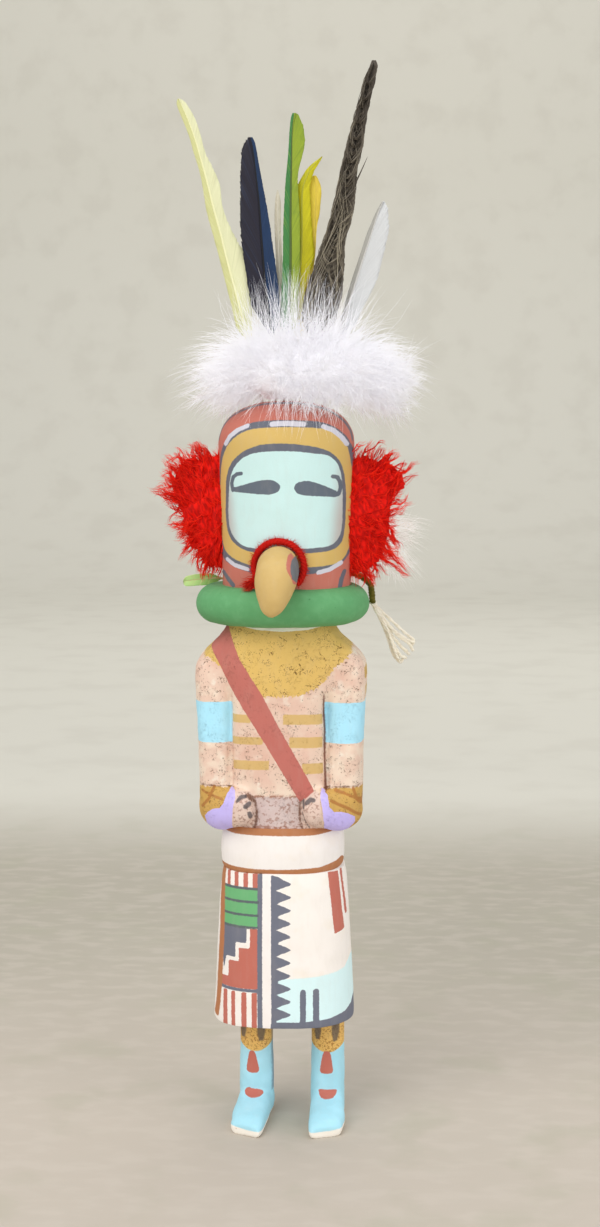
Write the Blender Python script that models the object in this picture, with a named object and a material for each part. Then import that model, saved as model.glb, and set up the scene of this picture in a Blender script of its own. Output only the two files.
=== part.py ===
"""A carved and painted standing doll with a feather crown, yarn tufts and a collar.

Metres, +Z up. The doll faces -Y and stands on z = 0, with the origin between its feet.
Its own right side is at -X. The wooden figure is one carving; the beak, the yarn, the
down and every feather are pieces of their own, set against it with a small gap.
"""

from dataclasses import dataclass
from math import copysign, cos, pi, radians, sin, tau

import bmesh
import bpy
from mathutils import Matrix, Vector

# Fit between pieces that touch
GAP = 0.0003

# Heights of the carving, from the soles up
LEG_HEIGHT = 0.0345
KILT_HEIGHT = 0.0492
BELT_HEIGHT = 0.0143
TORSO_HEIGHT = 0.0700
HEAD_HEIGHT = 0.0633

# Half widths and half depths of the carving
LEG_HALF_WIDTH = 0.0054
LEG_HALF_DEPTH = 0.0055
LEG_SPACING = 0.0232
LEGS_CENTRE_X = 0.0025
FOOT_HALF_WIDTH = 0.0057
FOOT_LENGTH = 0.0280
FOOT_HEIGHT = 0.0100
HEEL_BACK = 0.0078
RIGHT_TOE_OUT = radians(7)
LEFT_TOE_OUT = radians(0.5)
KILT_HALF_WIDTH = 0.0225
KILT_HALF_DEPTH = 0.0180
BELT_HALF_WIDTH = 0.0196
BELT_HALF_DEPTH = 0.0156
BELT_CENTRE_X = -0.0004
TORSO_HALF_WIDTH = 0.0165
TORSO_HALF_DEPTH = 0.0156
TORSO_CENTRE_X = -0.0010
ARM_HALF_WIDTH = 0.0066
ARM_HALF_DEPTH = 0.0126
ARM_OFFSET = 0.0209
HAND_OFFSET = 0.0112
HAND_FRONT = 0.0140
FOREARM_HALF_HEIGHT = 0.0069
FOREARM_HALF_THICKNESS = 0.0066
COLLAR_HALF_WIDTH = 0.0273
COLLAR_HALF_DEPTH = 0.0246
COLLAR_THICKNESS = 0.0118
COLLAR_CENTRE_X = -0.0005
HEAD_HALF_WIDTH = 0.0212
HEAD_HALF_DEPTH = 0.0200
HEAD_CENTRE_X = 0.0008
HEAD_POWER = 2.25
HEAD_TAPER = 0.055
CROWN_POWER = 2.45
CROWN_RISE = 0.0143

# Beak and the yarn round its root
BEAK_HALF_WIDTH = 0.0064
BEAK_HALF_HEIGHT = 0.0066
BEAK_REACH = 0.0126
BEAK_ABOVE_COLLAR = 0.0008
BEAK_DROP = 0.0138
BEAK_CENTRE_X = -0.0004
BEAK_SIDEWAYS = 0.0016
YARN_THICKNESS = 0.0020
YARN_ARCH = radians(260)

# Side tufts, crown down and the small things tied on at the sides
TUFT_REACH = 0.0205
TUFT_ROOT = 0.86
TUFT_HEIGHT = 0.0450
TUFT_HALF_DEPTH = 0.0095
TUFT_MIDDLE_UP_HEAD = 0.45
# Each slice is: reach, lowest, highest and half depth, as shares of the tuft's own sizes
RIGHT_TUFT = [(0.00, 0.00, 1.00, 0.70), (0.25, 0.01, 1.00, 0.95), (0.45, 0.14, 0.99, 1.00),
              (0.64, 0.34, 0.97, 0.92), (0.82, 0.47, 0.92, 0.76), (0.95, 0.58, 0.85, 0.55),
              (1.07, 0.62, 0.76, 0.25)]
LEFT_TUFT = [(0.00, 0.00, 0.90, 0.70), (0.22, 0.00, 0.94, 0.95), (0.45, 0.02, 0.99, 1.00),
             (0.66, 0.10, 0.97, 0.92), (0.82, 0.26, 0.94, 0.76), (0.95, 0.55, 0.90, 0.55),
             (1.05, 0.66, 0.84, 0.30)]
DOWN_HALF_WIDTH = 0.0315
DOWN_HALF_DEPTH = 0.0300
DOWN_HEIGHT = 0.0300
DOWN_BELOW_CROWN = 0.0030
DOWN_CENTRE_X = 0.0065
DOWN_CENTRE_Y = 0.0036
SIDE_FEATHER_REACH = 0.0135
SIDE_FEATHER_HALF_HEIGHT = 0.0019
SIDE_FEATHER_DROP = 0.0012
SIDE_BACK = 0.0082
PLUME_UP_HEAD = 0.37
PLUME_REACH = 0.0200
PLUME_DROP = 0.0015
PLUME_HALF_HEIGHT = 0.0062
PLUME_HALF_DEPTH = 0.0040
BINDING_RADIUS = 0.0011
BINDING_LENGTH = 0.0080
TASSEL_LENGTH = 0.0210
TASSEL_HALF_WIDTH = 0.0038
TASSEL_HALF_THICKNESS = 0.0012
TASSEL_LEAN = radians(31)
TASSEL_BOW = 0.0016

# Crown feathers
QUILL_RADIUS = 0.0006
QUILL_DEPTH = 0.0030
FEATHER_THICKNESS = 0.0010
VANE_EDGE_THICKNESS = 0.0005
VANE_START = 0.0150

# Steps round and along the forms
FIGURE_SIDES = 36
COLLAR_SIDES = 40
LIMB_SIDES = 16
SMALL_SIDES = 12
QUILL_SIDES = 8
CROWN_STEPS = 9
COLLAR_STEPS = 8
YARN_STEPS = 20
TUFT_SIDES = 20

# Heights that follow from the sizes above
HEM_Z = LEG_HEIGHT
BELT_Z = HEM_Z + KILT_HEIGHT
WAIST_Z = BELT_Z + BELT_HEIGHT
COLLAR_Z = WAIST_Z + TORSO_HEIGHT
CROWN_Z = COLLAR_Z + HEAD_HEIGHT
CROWN_SPRING_Z = CROWN_Z - CROWN_RISE
COLLAR_TOP_Z = COLLAR_Z + COLLAR_THICKNESS / 2
BEAK_ROOT_Z = COLLAR_TOP_Z + BEAK_ABOVE_COLLAR + BEAK_HALF_HEIGHT
SIDEWAYS = Vector((1, 0, 0))
FORWARD = Vector((0, -1, 0))
BACK = Vector((0, 1, 0))
UP = Vector((0, 0, 1))


@dataclass
class Feather:
    """One crown feather. Places are x and y from the crown's middle and z above the crown."""

    name: str
    colour: tuple
    base: tuple
    bend: tuple
    tip: tuple
    left: float
    left_taper: float
    right: float
    right_taper: float
    bluntness: float


FEATHERS = [
    Feather("feather_pale_yellow", (0.84, 0.82, 0.45), base=(-0.0070, 0.0), bend=(-0.0166, 0.0, 0.0410),
            tip=(-0.0324, 0.0010, 0.0925), left=0.0027, left_taper=0.3, right=0.0084, right_taper=0.85,
            bluntness=5),
    Feather("feather_navy", (0.04, 0.04, 0.12), base=(-0.0036, -0.0012), bend=(-0.0044, -0.0012, 0.0400),
            tip=(-0.0106, -0.0005, 0.0803), left=0.0056, left_taper=0.25, right=0.0060, right_taper=0.85,
            bluntness=8),
    Feather("feather_beige", (0.55, 0.50, 0.36), base=(-0.0010, 0.0018), bend=(-0.0024, 0.0018, 0.0330),
            tip=(-0.0036, 0.0020, 0.0640), left=0.0014, left_taper=0.3, right=0.0014, right_taper=0.3,
            bluntness=4),
    Feather("feather_green", (0.06, 0.30, 0.08), base=(0.0011, 0.0), bend=(0.0012, 0.0, 0.0450),
            tip=(0.0024, 0.0, 0.0876), left=0.0030, left_taper=0.6, right=0.0024, right_taper=-0.7,
            bluntness=10),
    Feather("feather_lime", (0.40, 0.48, 0.03), base=(0.0030, 0.0016), bend=(0.0042, 0.0016, 0.0580),
            tip=(0.0110, 0.0020, 0.0747), left=0.0030, left_taper=0.7, right=0.0026, right_taper=0.7,
            bluntness=2.5),
    Feather("feather_gold", (0.78, 0.60, 0.05), base=(0.0050, 0.0031), bend=(0.0068, 0.0031, 0.0390),
            tip=(0.0086, 0.0035, 0.0690), left=0.0025, left_taper=0.2, right=0.0030, right_taper=0.0,
            bluntness=6),
    Feather("feather_brown", (0.045, 0.035, 0.025), base=(0.0075, -0.0016), bend=(0.0160, -0.0016, 0.0470),
            tip=(0.0270, -0.0010, 0.1032), left=0.0058, left_taper=0.8, right=0.0056, right_taper=0.8,
            bluntness=12),
    Feather("feather_white", (0.66, 0.66, 0.64), base=(0.0112, 0.0014), bend=(0.0222, 0.0014, 0.0330),
            tip=(0.0301, 0.0030, 0.0607), left=0.0025, left_taper=0.2, right=0.0048, right_taper=0.1,
            bluntness=4),
]


def remove_everything():
    """Empty the scene that the script is run in."""
    for obj in list(bpy.data.objects):
        bpy.data.objects.remove(obj)


def paint(name, colour, roughness):
    """Principled material in one colour."""
    material = bpy.data.materials.new(name)
    material.use_nodes = True
    shader = material.node_tree.nodes["Principled BSDF"]
    shader.inputs["Base Color"].default_value = (*colour, 1)
    shader.inputs["Roughness"].default_value = roughness
    shader.inputs["Metallic"].default_value = 0
    return material


def signed_power(value, power):
    """Value raised to a power, keeping its sign."""
    return copysign(abs(value) ** power, value)


def ring(centre, half_u, half_v, power, sides, u=SIDEWAYS, v=BACK, left_power=None):
    """Points of a rounded outline about a centre; a second power squares off its -u side."""
    points = []
    for step in range(sides):
        turn = tau * (step + 0.5) / sides
        bulge = left_power if left_power and cos(turn) < 0 else power
        across = half_u * signed_power(cos(turn), 2 / bulge)
        along = half_v * signed_power(sin(turn), 2 / bulge)
        points.append(Vector(centre) + u * across + v * along)
    return points


def loft(name, rings):
    """Object with one closed skin through rings of points, flat at both ends."""
    shape = bmesh.new()
    rows = [[shape.verts.new(point) for point in row] for row in rings]
    for low, high in zip(rows, rows[1:]):
        for a in range(len(low)):
            b = (a + 1) % len(low)
            shape.faces.new((low[a], low[b], high[b], high[a]))
    shape.faces.new(rows[0])
    shape.faces.new(rows[-1])
    bmesh.ops.recalc_face_normals(shape, faces=shape.faces)
    mesh = bpy.data.meshes.new(name)
    shape.to_mesh(mesh)
    shape.free()
    mesh.shade_smooth()
    obj = bpy.data.objects.new(name, mesh)
    bpy.context.scene.collection.objects.link(obj)
    return obj


def directions(points):
    """Direction of travel at each point of a path."""
    return [(ahead - behind).normalized()
            for behind, ahead in zip(points[:1] + points[:-1], points[1:] + points[-1:])]


def combine(target, other, operation):
    """Add or cut another shape, which then only guides the target."""
    modifier = target.modifiers.new(other.name, "BOOLEAN")
    modifier.operation = operation
    modifier.solver = "EXACT"
    modifier.object = other
    other.hide_render = True
    other.display_type = "WIRE"


def join(target, *others):
    """Fuse other shapes onto the target."""
    for other in others:
        combine(target, other, "UNION")


def cut(target, *cutters):
    """Cut other shapes out of the target."""
    for cutter in cutters:
        combine(target, cutter, "DIFFERENCE")


def head_radius(z):
    """Share of the head's full width at a height, through the rounded crown."""
    below = (CROWN_SPRING_Z - z) / (CROWN_SPRING_Z - COLLAR_Z)
    if below > 0:
        return 1 - HEAD_TAPER * below
    rise = min(1.0, (z - CROWN_SPRING_Z) / CROWN_RISE)
    return (1 - rise ** CROWN_POWER) ** (1 / CROWN_POWER)


def head(name, grow=0.0):
    """The upright rounded head, a little narrower towards the collar."""
    heights = [COLLAR_Z, COLLAR_Z + 0.25 * HEAD_HEIGHT, CROWN_SPRING_Z - 0.15 * HEAD_HEIGHT]
    heights += [CROWN_SPRING_Z + CROWN_RISE * sin(pi / 2 * step / CROWN_STEPS) for step in range(CROWN_STEPS)]
    heights.append(CROWN_Z - 0.003 * HEAD_HEIGHT)
    rings = []
    for z in heights:
        share = head_radius(z)
        lift = grow * (z - COLLAR_Z) / HEAD_HEIGHT
        rings.append(ring((HEAD_CENTRE_X, 0, z + lift), HEAD_HALF_WIDTH * share + grow,
                          HEAD_HALF_DEPTH * share + grow, HEAD_POWER, FIGURE_SIDES))
    return loft(name, rings)


def collar(name, grow=0.0):
    """The thick round-edged collar under the head."""
    radius = COLLAR_THICKNESS / 2
    rings = []
    for step in range(COLLAR_STEPS + 1):
        turn = pi * (step / COLLAR_STEPS - 0.5)
        inset = radius * (1 - cos(turn))
        z = COLLAR_Z + (radius + grow) * sin(turn)
        rings.append(ring((COLLAR_CENTRE_X, 0, z), COLLAR_HALF_WIDTH - inset + grow,
                          COLLAR_HALF_DEPTH - inset + grow, 2.1, COLLAR_SIDES))
    return loft(name, rings)


def torso():
    """Chest and belly from the belt to the collar, widening into the shoulders."""
    sections = [(-0.04, 1.00, 0.88, 3.0), (0.14, 0.98, 0.90, 4.5), (0.40, 0.96, 0.95, 5.0),
                (0.57, 0.98, 0.98, 4.5), (0.66, 1.30, 0.98, 3.4), (0.745, 1.60, 0.96, 3.0),
                (0.80, 1.42, 0.93, 2.8), (0.90, 1.06, 0.86, 2.5), (0.99, 0.98, 0.82, 2.3)]
    return loft("torso", [
        ring((TORSO_CENTRE_X, 0, WAIST_Z + share * TORSO_HEIGHT), TORSO_HALF_WIDTH * wide,
             TORSO_HALF_DEPTH * deep, power, FIGURE_SIDES)
        for share, wide, deep, power in sections])


def upper_arm(side):
    """One upper arm, flat against the chest, from the sloping shoulder to the round elbow."""
    sections = [(-0.020, -0.45, 0.42, 0.40), (0.000, -0.20, 0.70, 0.66), (0.045, -0.06, 0.91, 0.86),
                (0.120, 0.00, 0.97, 0.94), (0.350, 0.03, 0.98, 0.96), (0.610, 0.10, 1.04, 1.00),
                (0.700, 0.12, 1.04, 0.98), (0.745, 0.05, 0.98, 0.94), (0.790, -0.22, 0.82, 0.86),
                (0.840, -0.62, 0.60, 0.74), (0.885, -1.00, 0.40, 0.60)]
    return loft(f"upper_arm_{side:+d}", [
        ring((TORSO_CENTRE_X + side * (ARM_OFFSET + shift * ARM_HALF_WIDTH), 0.0,
              WAIST_Z + share * TORSO_HEIGHT), ARM_HALF_WIDTH * wide,
             ARM_HALF_DEPTH * deep, 3.0, LIMB_SIDES)
        for share, shift, wide, deep in sections])


def forearm(side):
    """One forearm and its mitten of a hand, bent forward and in across the belly."""
    reach = ARM_OFFSET - HAND_OFFSET
    # Each is: inward, forward, height up the torso, half height and half thickness
    sections = [(0.10, -0.09, 0.080, 0.80, 0.94), (0.00, 0.30, 0.080, 1.00, 1.00),
                (0.30, 0.66, 0.080, 1.02, 0.94), (0.62, 0.90, 0.090, 0.92, 0.79),
                (0.90, 1.00, 0.098, 0.90, 0.76), (1.12, 1.01, 0.098, 0.76, 0.68),
                (1.28, 0.98, 0.096, 0.42, 0.42)]
    centres = [Vector((TORSO_CENTRE_X + side * (ARM_OFFSET - inward * reach), -forward * HAND_FRONT,
                       WAIST_Z + up * TORSO_HEIGHT))
               for inward, forward, up, _tall, _thick in sections]
    rings = []
    for centre, along, section in zip(centres, directions(centres), sections):
        tall, thick = section[3:]
        rings.append(ring(centre, FOREARM_HALF_THICKNESS * thick, FOREARM_HALF_HEIGHT * tall, 2.4,
                          SMALL_SIDES, along.cross(UP).normalized(), UP))
    return loft(f"forearm_{side:+d}", rings)


def kilt():
    """Kilt and belt in one: squarer on the doll's right, where the kilt's edge lies."""
    skirt = [(0.00, 0.985, 0.975), (0.03, 1.00, 1.00), (0.30, 0.972, 0.985), (0.62, 0.935, 0.955),
             (0.90, 0.895, 0.905)]
    band = [(0.02, 0.970, 0.985), (0.14, 1.00, 1.00), (0.50, 1.005, 1.00), (0.86, 0.975, 0.965),
            (1.00, 0.935, 0.925)]
    rings = [ring((0, 0, HEM_Z + share * KILT_HEIGHT), KILT_HALF_WIDTH * wide, KILT_HALF_DEPTH * deep,
                  2.35, FIGURE_SIDES, left_power=2.9)
             for share, wide, deep in skirt]
    rings += [ring((BELT_CENTRE_X, 0, BELT_Z + share * BELT_HEIGHT), BELT_HALF_WIDTH * wide,
                   BELT_HALF_DEPTH * deep, 2.35, FIGURE_SIDES, left_power=2.9)
              for share, wide, deep in band]
    return loft("kilt_and_belt", rings)


def leg(side):
    """One straight leg, its top inside the kilt."""
    x = LEGS_CENTRE_X + side * LEG_SPACING / 2
    heights = [0.12 * LEG_HEIGHT, 0.55 * LEG_HEIGHT, 1.2 * LEG_HEIGHT]
    return loft(f"leg_{side:+d}", [ring((x, 0, z), LEG_HALF_WIDTH, LEG_HALF_DEPTH, 2.5, LIMB_SIDES)
                                   for z in heights])


def foot(side, toe_out):
    """One moccasin with a flat sole, low at the toe, its outer toe corner rounded back."""
    sections = [(0.00, 0.60, 0.45, 0.0), (0.07, 0.82, 0.74, 0.0), (0.20, 0.92, 0.96, 0.0),
                (0.42, 0.95, 1.00, 0.0), (0.56, 0.98, 0.80, 0.0), (0.74, 1.00, 0.66, 0.0),
                (0.87, 0.95, 0.56, 0.04), (0.95, 0.78, 0.45, 0.13), (1.00, 0.50, 0.32, 0.26)]
    x = LEGS_CENTRE_X + side * LEG_SPACING / 2
    turn = Matrix.Rotation(side * toe_out, 3, "Z")
    rings = []
    for share, wide, tall, inward in sections:
        height = FOOT_HEIGHT * tall
        centre = (-side * inward * FOOT_HALF_WIDTH, HEEL_BACK - share * FOOT_LENGTH, height * 0.42)
        section = ring(centre, FOOT_HALF_WIDTH * wide, height * 0.58, 2.8, LIMB_SIDES, v=UP)
        rings.append([turn @ Vector((p.x, p.y, max(p.z, 0))) + Vector((x, 0, 0)) for p in section])
    return loft(f"foot_{side:+d}", rings)


def feather_point(feather, share):
    """Point on a feather's shaft, from the crown at 0 to the tip at 1."""
    x = HEAD_CENTRE_X
    base = Vector((x + feather.base[0], feather.base[1], CROWN_Z))
    bend = Vector((x + feather.bend[0], feather.bend[1], CROWN_Z + feather.bend[2]))
    tip = Vector((x + feather.tip[0], feather.tip[1], CROWN_Z + feather.tip[2]))
    return base * (1 - share) ** 2 + bend * 2 * share * (1 - share) + tip * share ** 2


def vane_widths(feather, share):
    """Width of the left and right vane at a share of the feather, nothing on the bare quill."""
    start = VANE_START / feather.tip[2]
    along = max(0.0, (share - start) / (1 - start))
    opening = min(1.0, along / 0.15) ** 0.6
    rounding = (1 - along ** feather.bluntness) ** 0.5
    return (feather.left * (1 - feather.left_taper * along) * opening * rounding,
            feather.right * (1 - feather.right_taper * along) * opening * rounding)


def quill_foot(feather):
    """Where a quill ends, in its socket in the crown."""
    base = feather_point(feather, 0)
    return Vector((base.x, base.y, CROWN_Z - CROWN_RISE * 0.08 - QUILL_DEPTH))


def blade_ring(centre, left, right, thickness, grow):
    """Six-sided slice of a blade: thin edges, thicker shaft."""
    edge = VANE_EDGE_THICKNESS / 2 * thickness + grow
    shaft = FEATHER_THICKNESS / 2 * thickness + grow
    left += 2 * grow
    right += 2 * grow
    outline = [(-left, -edge), (0, -shaft), (right, -edge), (right, edge), (0, shaft), (-left, edge)]
    return [centre + Vector((across, deep, 0)) for across, deep in outline]


def feather_blade(name, feather, grow=0.0):
    """A flat tapered blade on a narrow quill, thickest along its shaft."""
    rings = [blade_ring(quill_foot(feather) + UP * GAP, QUILL_RADIUS, QUILL_RADIUS, 1.0, grow)]
    for share in (0.0, 0.17, 0.23, 0.31, 0.42, 0.54, 0.66, 0.78, 0.87, 0.93, 0.97, 0.99, 1.0):
        left, right = vane_widths(feather, share)
        shaft = QUILL_RADIUS * (1 - 0.7 * share)
        rings.append(blade_ring(feather_point(feather, share), max(shaft, left), max(shaft, right),
                                1 - 0.45 * share, grow))
    return loft(name, rings)


def crown_feather(feather):
    """One crown feather in its own colour."""
    obj = feather_blade(feather.name, feather)
    obj.data.materials.append(paint(feather.name, feather.colour, 0.6))
    return obj


def quill_socket(feather):
    """Cutter for the short socket that a quill stands in."""
    centre = quill_foot(feather)
    radius = QUILL_RADIUS + GAP
    return loft(f"socket_{feather.name}", [ring(centre, radius, radius, 2, QUILL_SIDES),
                                           ring(centre + UP * CROWN_RISE, radius, radius, 2, QUILL_SIDES)])


def carved_figure():
    """The whole wooden figure, carved in one."""
    figure = head("carved_figure")
    join(figure, collar("collar"), torso(), kilt())
    for side in (-1, 1):
        join(figure, upper_arm(side), forearm(side), leg(side))
    join(figure, foot(-1, RIGHT_TOE_OUT), foot(1, LEFT_TOE_OUT))
    for feather in FEATHERS:
        cut(figure, quill_socket(feather))
    figure.data.materials.append(paint("painted_wood", (0.80, 0.62, 0.52), 0.65))
    return figure


def beak():
    """The hooked beak, from a flat root on the face down in front of the collar."""
    sections = [(0.00, 0.00, 0.92, 0.94), (0.22, 0.04, 1.00, 1.00), (0.48, 0.14, 1.00, 0.97),
                (0.72, 0.36, 0.96, 0.85), (0.88, 0.62, 0.80, 0.67), (0.97, 0.86, 0.56, 0.45),
                (1.00, 1.04, 0.28, 0.21)]
    root = -(HEAD_HALF_DEPTH + GAP)
    centres = [Vector((BEAK_CENTRE_X - BEAK_SIDEWAYS * drop, root - out * BEAK_REACH,
                       BEAK_ROOT_Z - drop * BEAK_DROP))
               for out, drop, _wide, _tall in sections]
    ways = [FORWARD] + directions(centres)[1:]
    rings = []
    for centre, along, section in zip(centres, ways, sections):
        wide, tall = section[2:]
        rings.append(ring(centre, BEAK_HALF_WIDTH * wide, BEAK_HALF_HEIGHT * tall, 2.1, LIMB_SIDES,
                          SIDEWAYS, SIDEWAYS.cross(along).normalized()))
    obj = loft("beak", rings)
    obj.data.materials.append(paint("beak_ochre", (0.72, 0.50, 0.16), 0.6))
    return obj


def face_surface(x, z):
    """How far forward the head's front lies at a place across and up."""
    share = head_radius(z)
    lean = min(1.0, abs(x - HEAD_CENTRE_X) / (HEAD_HALF_WIDTH * share))
    return -HEAD_HALF_DEPTH * share * (1 - lean ** HEAD_POWER) ** (1 / HEAD_POWER)


def side_surface(y, z):
    """How far the head's side lies from its middle at a depth and height."""
    share = head_radius(z)
    lean = min(1.0, abs(y) / (HEAD_HALF_DEPTH * share))
    return HEAD_HALF_WIDTH * share * (1 - lean ** HEAD_POWER) ** (1 / HEAD_POWER)


def yarn_ring():
    """The yarn over the beak's root, bent to the curve of the face and open below."""
    radius = YARN_THICKNESS / 2
    half_width = BEAK_HALF_WIDTH + GAP + radius
    half_height = BEAK_HALF_HEIGHT + GAP + radius
    rings = []
    for step in range(YARN_STEPS + 1):
        turn = pi / 2 + YARN_ARCH * (step / YARN_STEPS - 0.5)
        x = BEAK_CENTRE_X + half_width * cos(turn)
        z = BEAK_ROOT_Z - GAP + half_height * sin(turn)
        centre = (x, face_surface(x, z) - radius - GAP, z)
        outward = Vector((cos(turn), 0, sin(turn)))
        rings.append(ring(centre, radius, radius, 2, QUILL_SIDES, outward))
    obj = loft("beak_yarn_ring", rings)
    obj.data.materials.append(paint("red_yarn", (0.62, 0.02, 0.02), 0.9))
    return obj


def tuft(name, side, sections):
    """A shaggy fan of yarn beside the head, cut back to clear the head and the collar."""
    rings = []
    for index, (out, low, high, deep) in enumerate(sections):
        x = HEAD_CENTRE_X + side * (HEAD_HALF_WIDTH * TUFT_ROOT + out * TUFT_REACH)
        middle = COLLAR_Z + TUFT_MIDDLE_UP_HEAD * HEAD_HEIGHT + (low + high - 1) / 2 * TUFT_HEIGHT
        half = (high - low) / 2 * TUFT_HEIGHT
        row = []
        for point in ring((x, 0, middle), TUFT_HALF_DEPTH * deep, half, 2.2, TUFT_SIDES, BACK, UP):
            around = (point.z - middle) / half
            shag = 1 + 0.10 * sin(9 * around + 2.1 * index) * out
            row.append(Vector((point.x, point.y * shag, point.z)))
        rings.append(row)
    obj = loft(name, rings)
    cut(obj, head(f"{name}_head_clearance", GAP), collar(f"{name}_collar_clearance", GAP))
    obj.data.materials.append(paint("red_yarn", (0.62, 0.02, 0.02), 0.9))
    return obj


def crown_down():
    """The lumpy ring of down on the crown, with clearance for the head and each feather."""
    sections = [(0.00, 0.62, 0.56), (0.08, 0.82, 0.78), (0.22, 0.97, 0.95), (0.40, 1.00, 1.00),
                (0.58, 0.92, 0.92), (0.76, 0.74, 0.74), (0.90, 0.46, 0.50), (1.00, 0.20, 0.24)]
    rings = []
    for share, wide, deep in sections:
        z = CROWN_Z - DOWN_BELOW_CROWN + share * DOWN_HEIGHT
        row = []
        for step in range(FIGURE_SIDES):
            turn = tau * (step + 0.5) / FIGURE_SIDES
            lump = 1 + 0.045 * sin(5 * turn + 7 * share) + 0.03 * sin(9 * turn - 5 * share)
            row.append(Vector((DOWN_CENTRE_X + DOWN_HALF_WIDTH * wide * lump * cos(turn),
                               DOWN_CENTRE_Y + DOWN_HALF_DEPTH * deep * lump * sin(turn), z)))
        rings.append(row)
    obj = loft("crown_down", rings)
    cut(obj, head("down_head_clearance", GAP))
    for feather in FEATHERS:
        cut(obj, feather_blade(f"slot_{feather.name}", feather, GAP))
    obj.data.materials.append(paint("white_down", (0.88, 0.88, 0.90), 0.95))
    return obj


def side_feather():
    """The small green feather that lies over the collar on the doll's right."""
    height = COLLAR_TOP_Z + SIDE_FEATHER_HALF_HEIGHT + GAP
    root = Vector((HEAD_CENTRE_X - side_surface(SIDE_BACK, height) - 2 * GAP, SIDE_BACK, height))
    edge = VANE_EDGE_THICKNESS / 2
    shaft = FEATHER_THICKNESS / 2
    rings = []
    for share, width in ((0.0, 0.22), (0.15, 0.35), (0.35, 0.85), (0.60, 1.0), (0.82, 0.75), (0.97, 0.2)):
        centre = root - SIDEWAYS * share * SIDE_FEATHER_REACH - UP * share ** 2 * SIDE_FEATHER_DROP
        half = SIDE_FEATHER_HALF_HEIGHT * width
        outline = [(-half, -edge), (0, -shaft), (half, -edge), (half, edge), (0, shaft), (-half, edge)]
        rings.append([centre + Vector((0, deep, tall)) for tall, deep in outline])
    obj = loft("side_feather_green", rings)
    obj.data.materials.append(paint("side_feather_green", (0.25, 0.50, 0.10), 0.7))
    return obj


def side_plume():
    """The white plume that stands out behind the yarn on the doll's left."""
    height = COLLAR_Z + PLUME_UP_HEAD * HEAD_HEIGHT
    root = Vector((HEAD_CENTRE_X + HEAD_HALF_WIDTH * 0.74, HEAD_HALF_DEPTH * 0.74, height))
    tip = Vector((HEAD_CENTRE_X + HEAD_HALF_WIDTH + PLUME_REACH, HEAD_HALF_DEPTH * 0.59,
                  height - PLUME_DROP))
    rings = []
    for share, width in ((0.0, 0.16), (0.25, 0.30), (0.45, 0.62), (0.65, 0.95), (0.82, 1.0), (0.94, 0.72),
                         (1.0, 0.30)):
        rings.append(ring(root.lerp(tip, share), PLUME_HALF_DEPTH * width, PLUME_HALF_HEIGHT * width, 2.1,
                          SMALL_SIDES, BACK, UP))
    obj = loft("side_plume_white", rings)
    cut(obj, head("plume_head_clearance", GAP))
    obj.data.materials.append(paint("white_down", (0.88, 0.88, 0.90), 0.95))
    return obj


def binding_end():
    """Lower end of the bound stem, just outside the collar."""
    return Vector((COLLAR_CENTRE_X + COLLAR_HALF_WIDTH + BINDING_RADIUS, SIDE_BACK,
                   COLLAR_Z - BINDING_RADIUS))


def binding():
    """The bound stem that hangs from the head over the collar's edge on the doll's left."""
    over = COLLAR_THICKNESS / 2 + BINDING_RADIUS + GAP
    points = [binding_end() - SIDEWAYS * inward * BINDING_LENGTH + UP * rise * over
              for inward, rise in ((1.0, 1.45), (0.5, 1.25), (0.1, 0.85), (0.0, 0.0))]
    rings = [ring(point, BINDING_RADIUS, BINDING_RADIUS, 2, QUILL_SIDES, along.cross(BACK).normalized())
             for point, along in zip(points, directions(points))]
    obj = loft("pendant_binding", rings)
    cut(obj, head("binding_head_clearance", GAP), collar("binding_collar_clearance", GAP))
    obj.data.materials.append(paint("binding_olive", (0.16, 0.11, 0.03), 0.8))
    return obj


def tassel():
    """The cotton string tassel that fans out below the binding."""
    start = binding_end() - UP * 2 * GAP
    down = Vector((sin(TASSEL_LEAN), 0, -cos(TASSEL_LEAN)))
    across = down.cross(BACK)
    rings = []
    for share, width, thick in ((0.0, 0.18, 0.7), (0.2, 0.26, 0.9), (0.5, 0.62, 1.0), (0.8, 0.92, 1.0),
                                (1.0, 1.0, 0.9)):
        centre = start + down * share * TASSEL_LENGTH - across * TASSEL_BOW * sin(pi * share)
        rings.append(ring(centre, TASSEL_HALF_WIDTH * width, TASSEL_HALF_THICKNESS * thick, 2.2,
                          SMALL_SIDES, across))
    obj = loft("string_tassel", rings)
    obj.data.materials.append(paint("cotton_string", (0.80, 0.74, 0.60), 0.9))
    return obj


def main():
    """Build every piece of the doll."""
    remove_everything()
    carved_figure()
    beak()
    yarn_ring()
    tuft("yarn_tuft_right", -1, RIGHT_TUFT)
    tuft("yarn_tuft_left", 1, LEFT_TUFT)
    crown_down()
    for feather in FEATHERS:
        crown_feather(feather)
    side_feather()
    side_plume()
    binding()
    tassel()


main()
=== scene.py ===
"""Looks of the carved and painted doll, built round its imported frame.

Metres, +Z up; the doll faces -Y and its own right side is at -X. Outlines of paint and
feathers are in millimetres as the front shows them: across (x) and up (z).
"""

from math import cos, pi, radians, sin, tau

import bpy
import numpy as np
from mathutils import Matrix, Vector, noise


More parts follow.
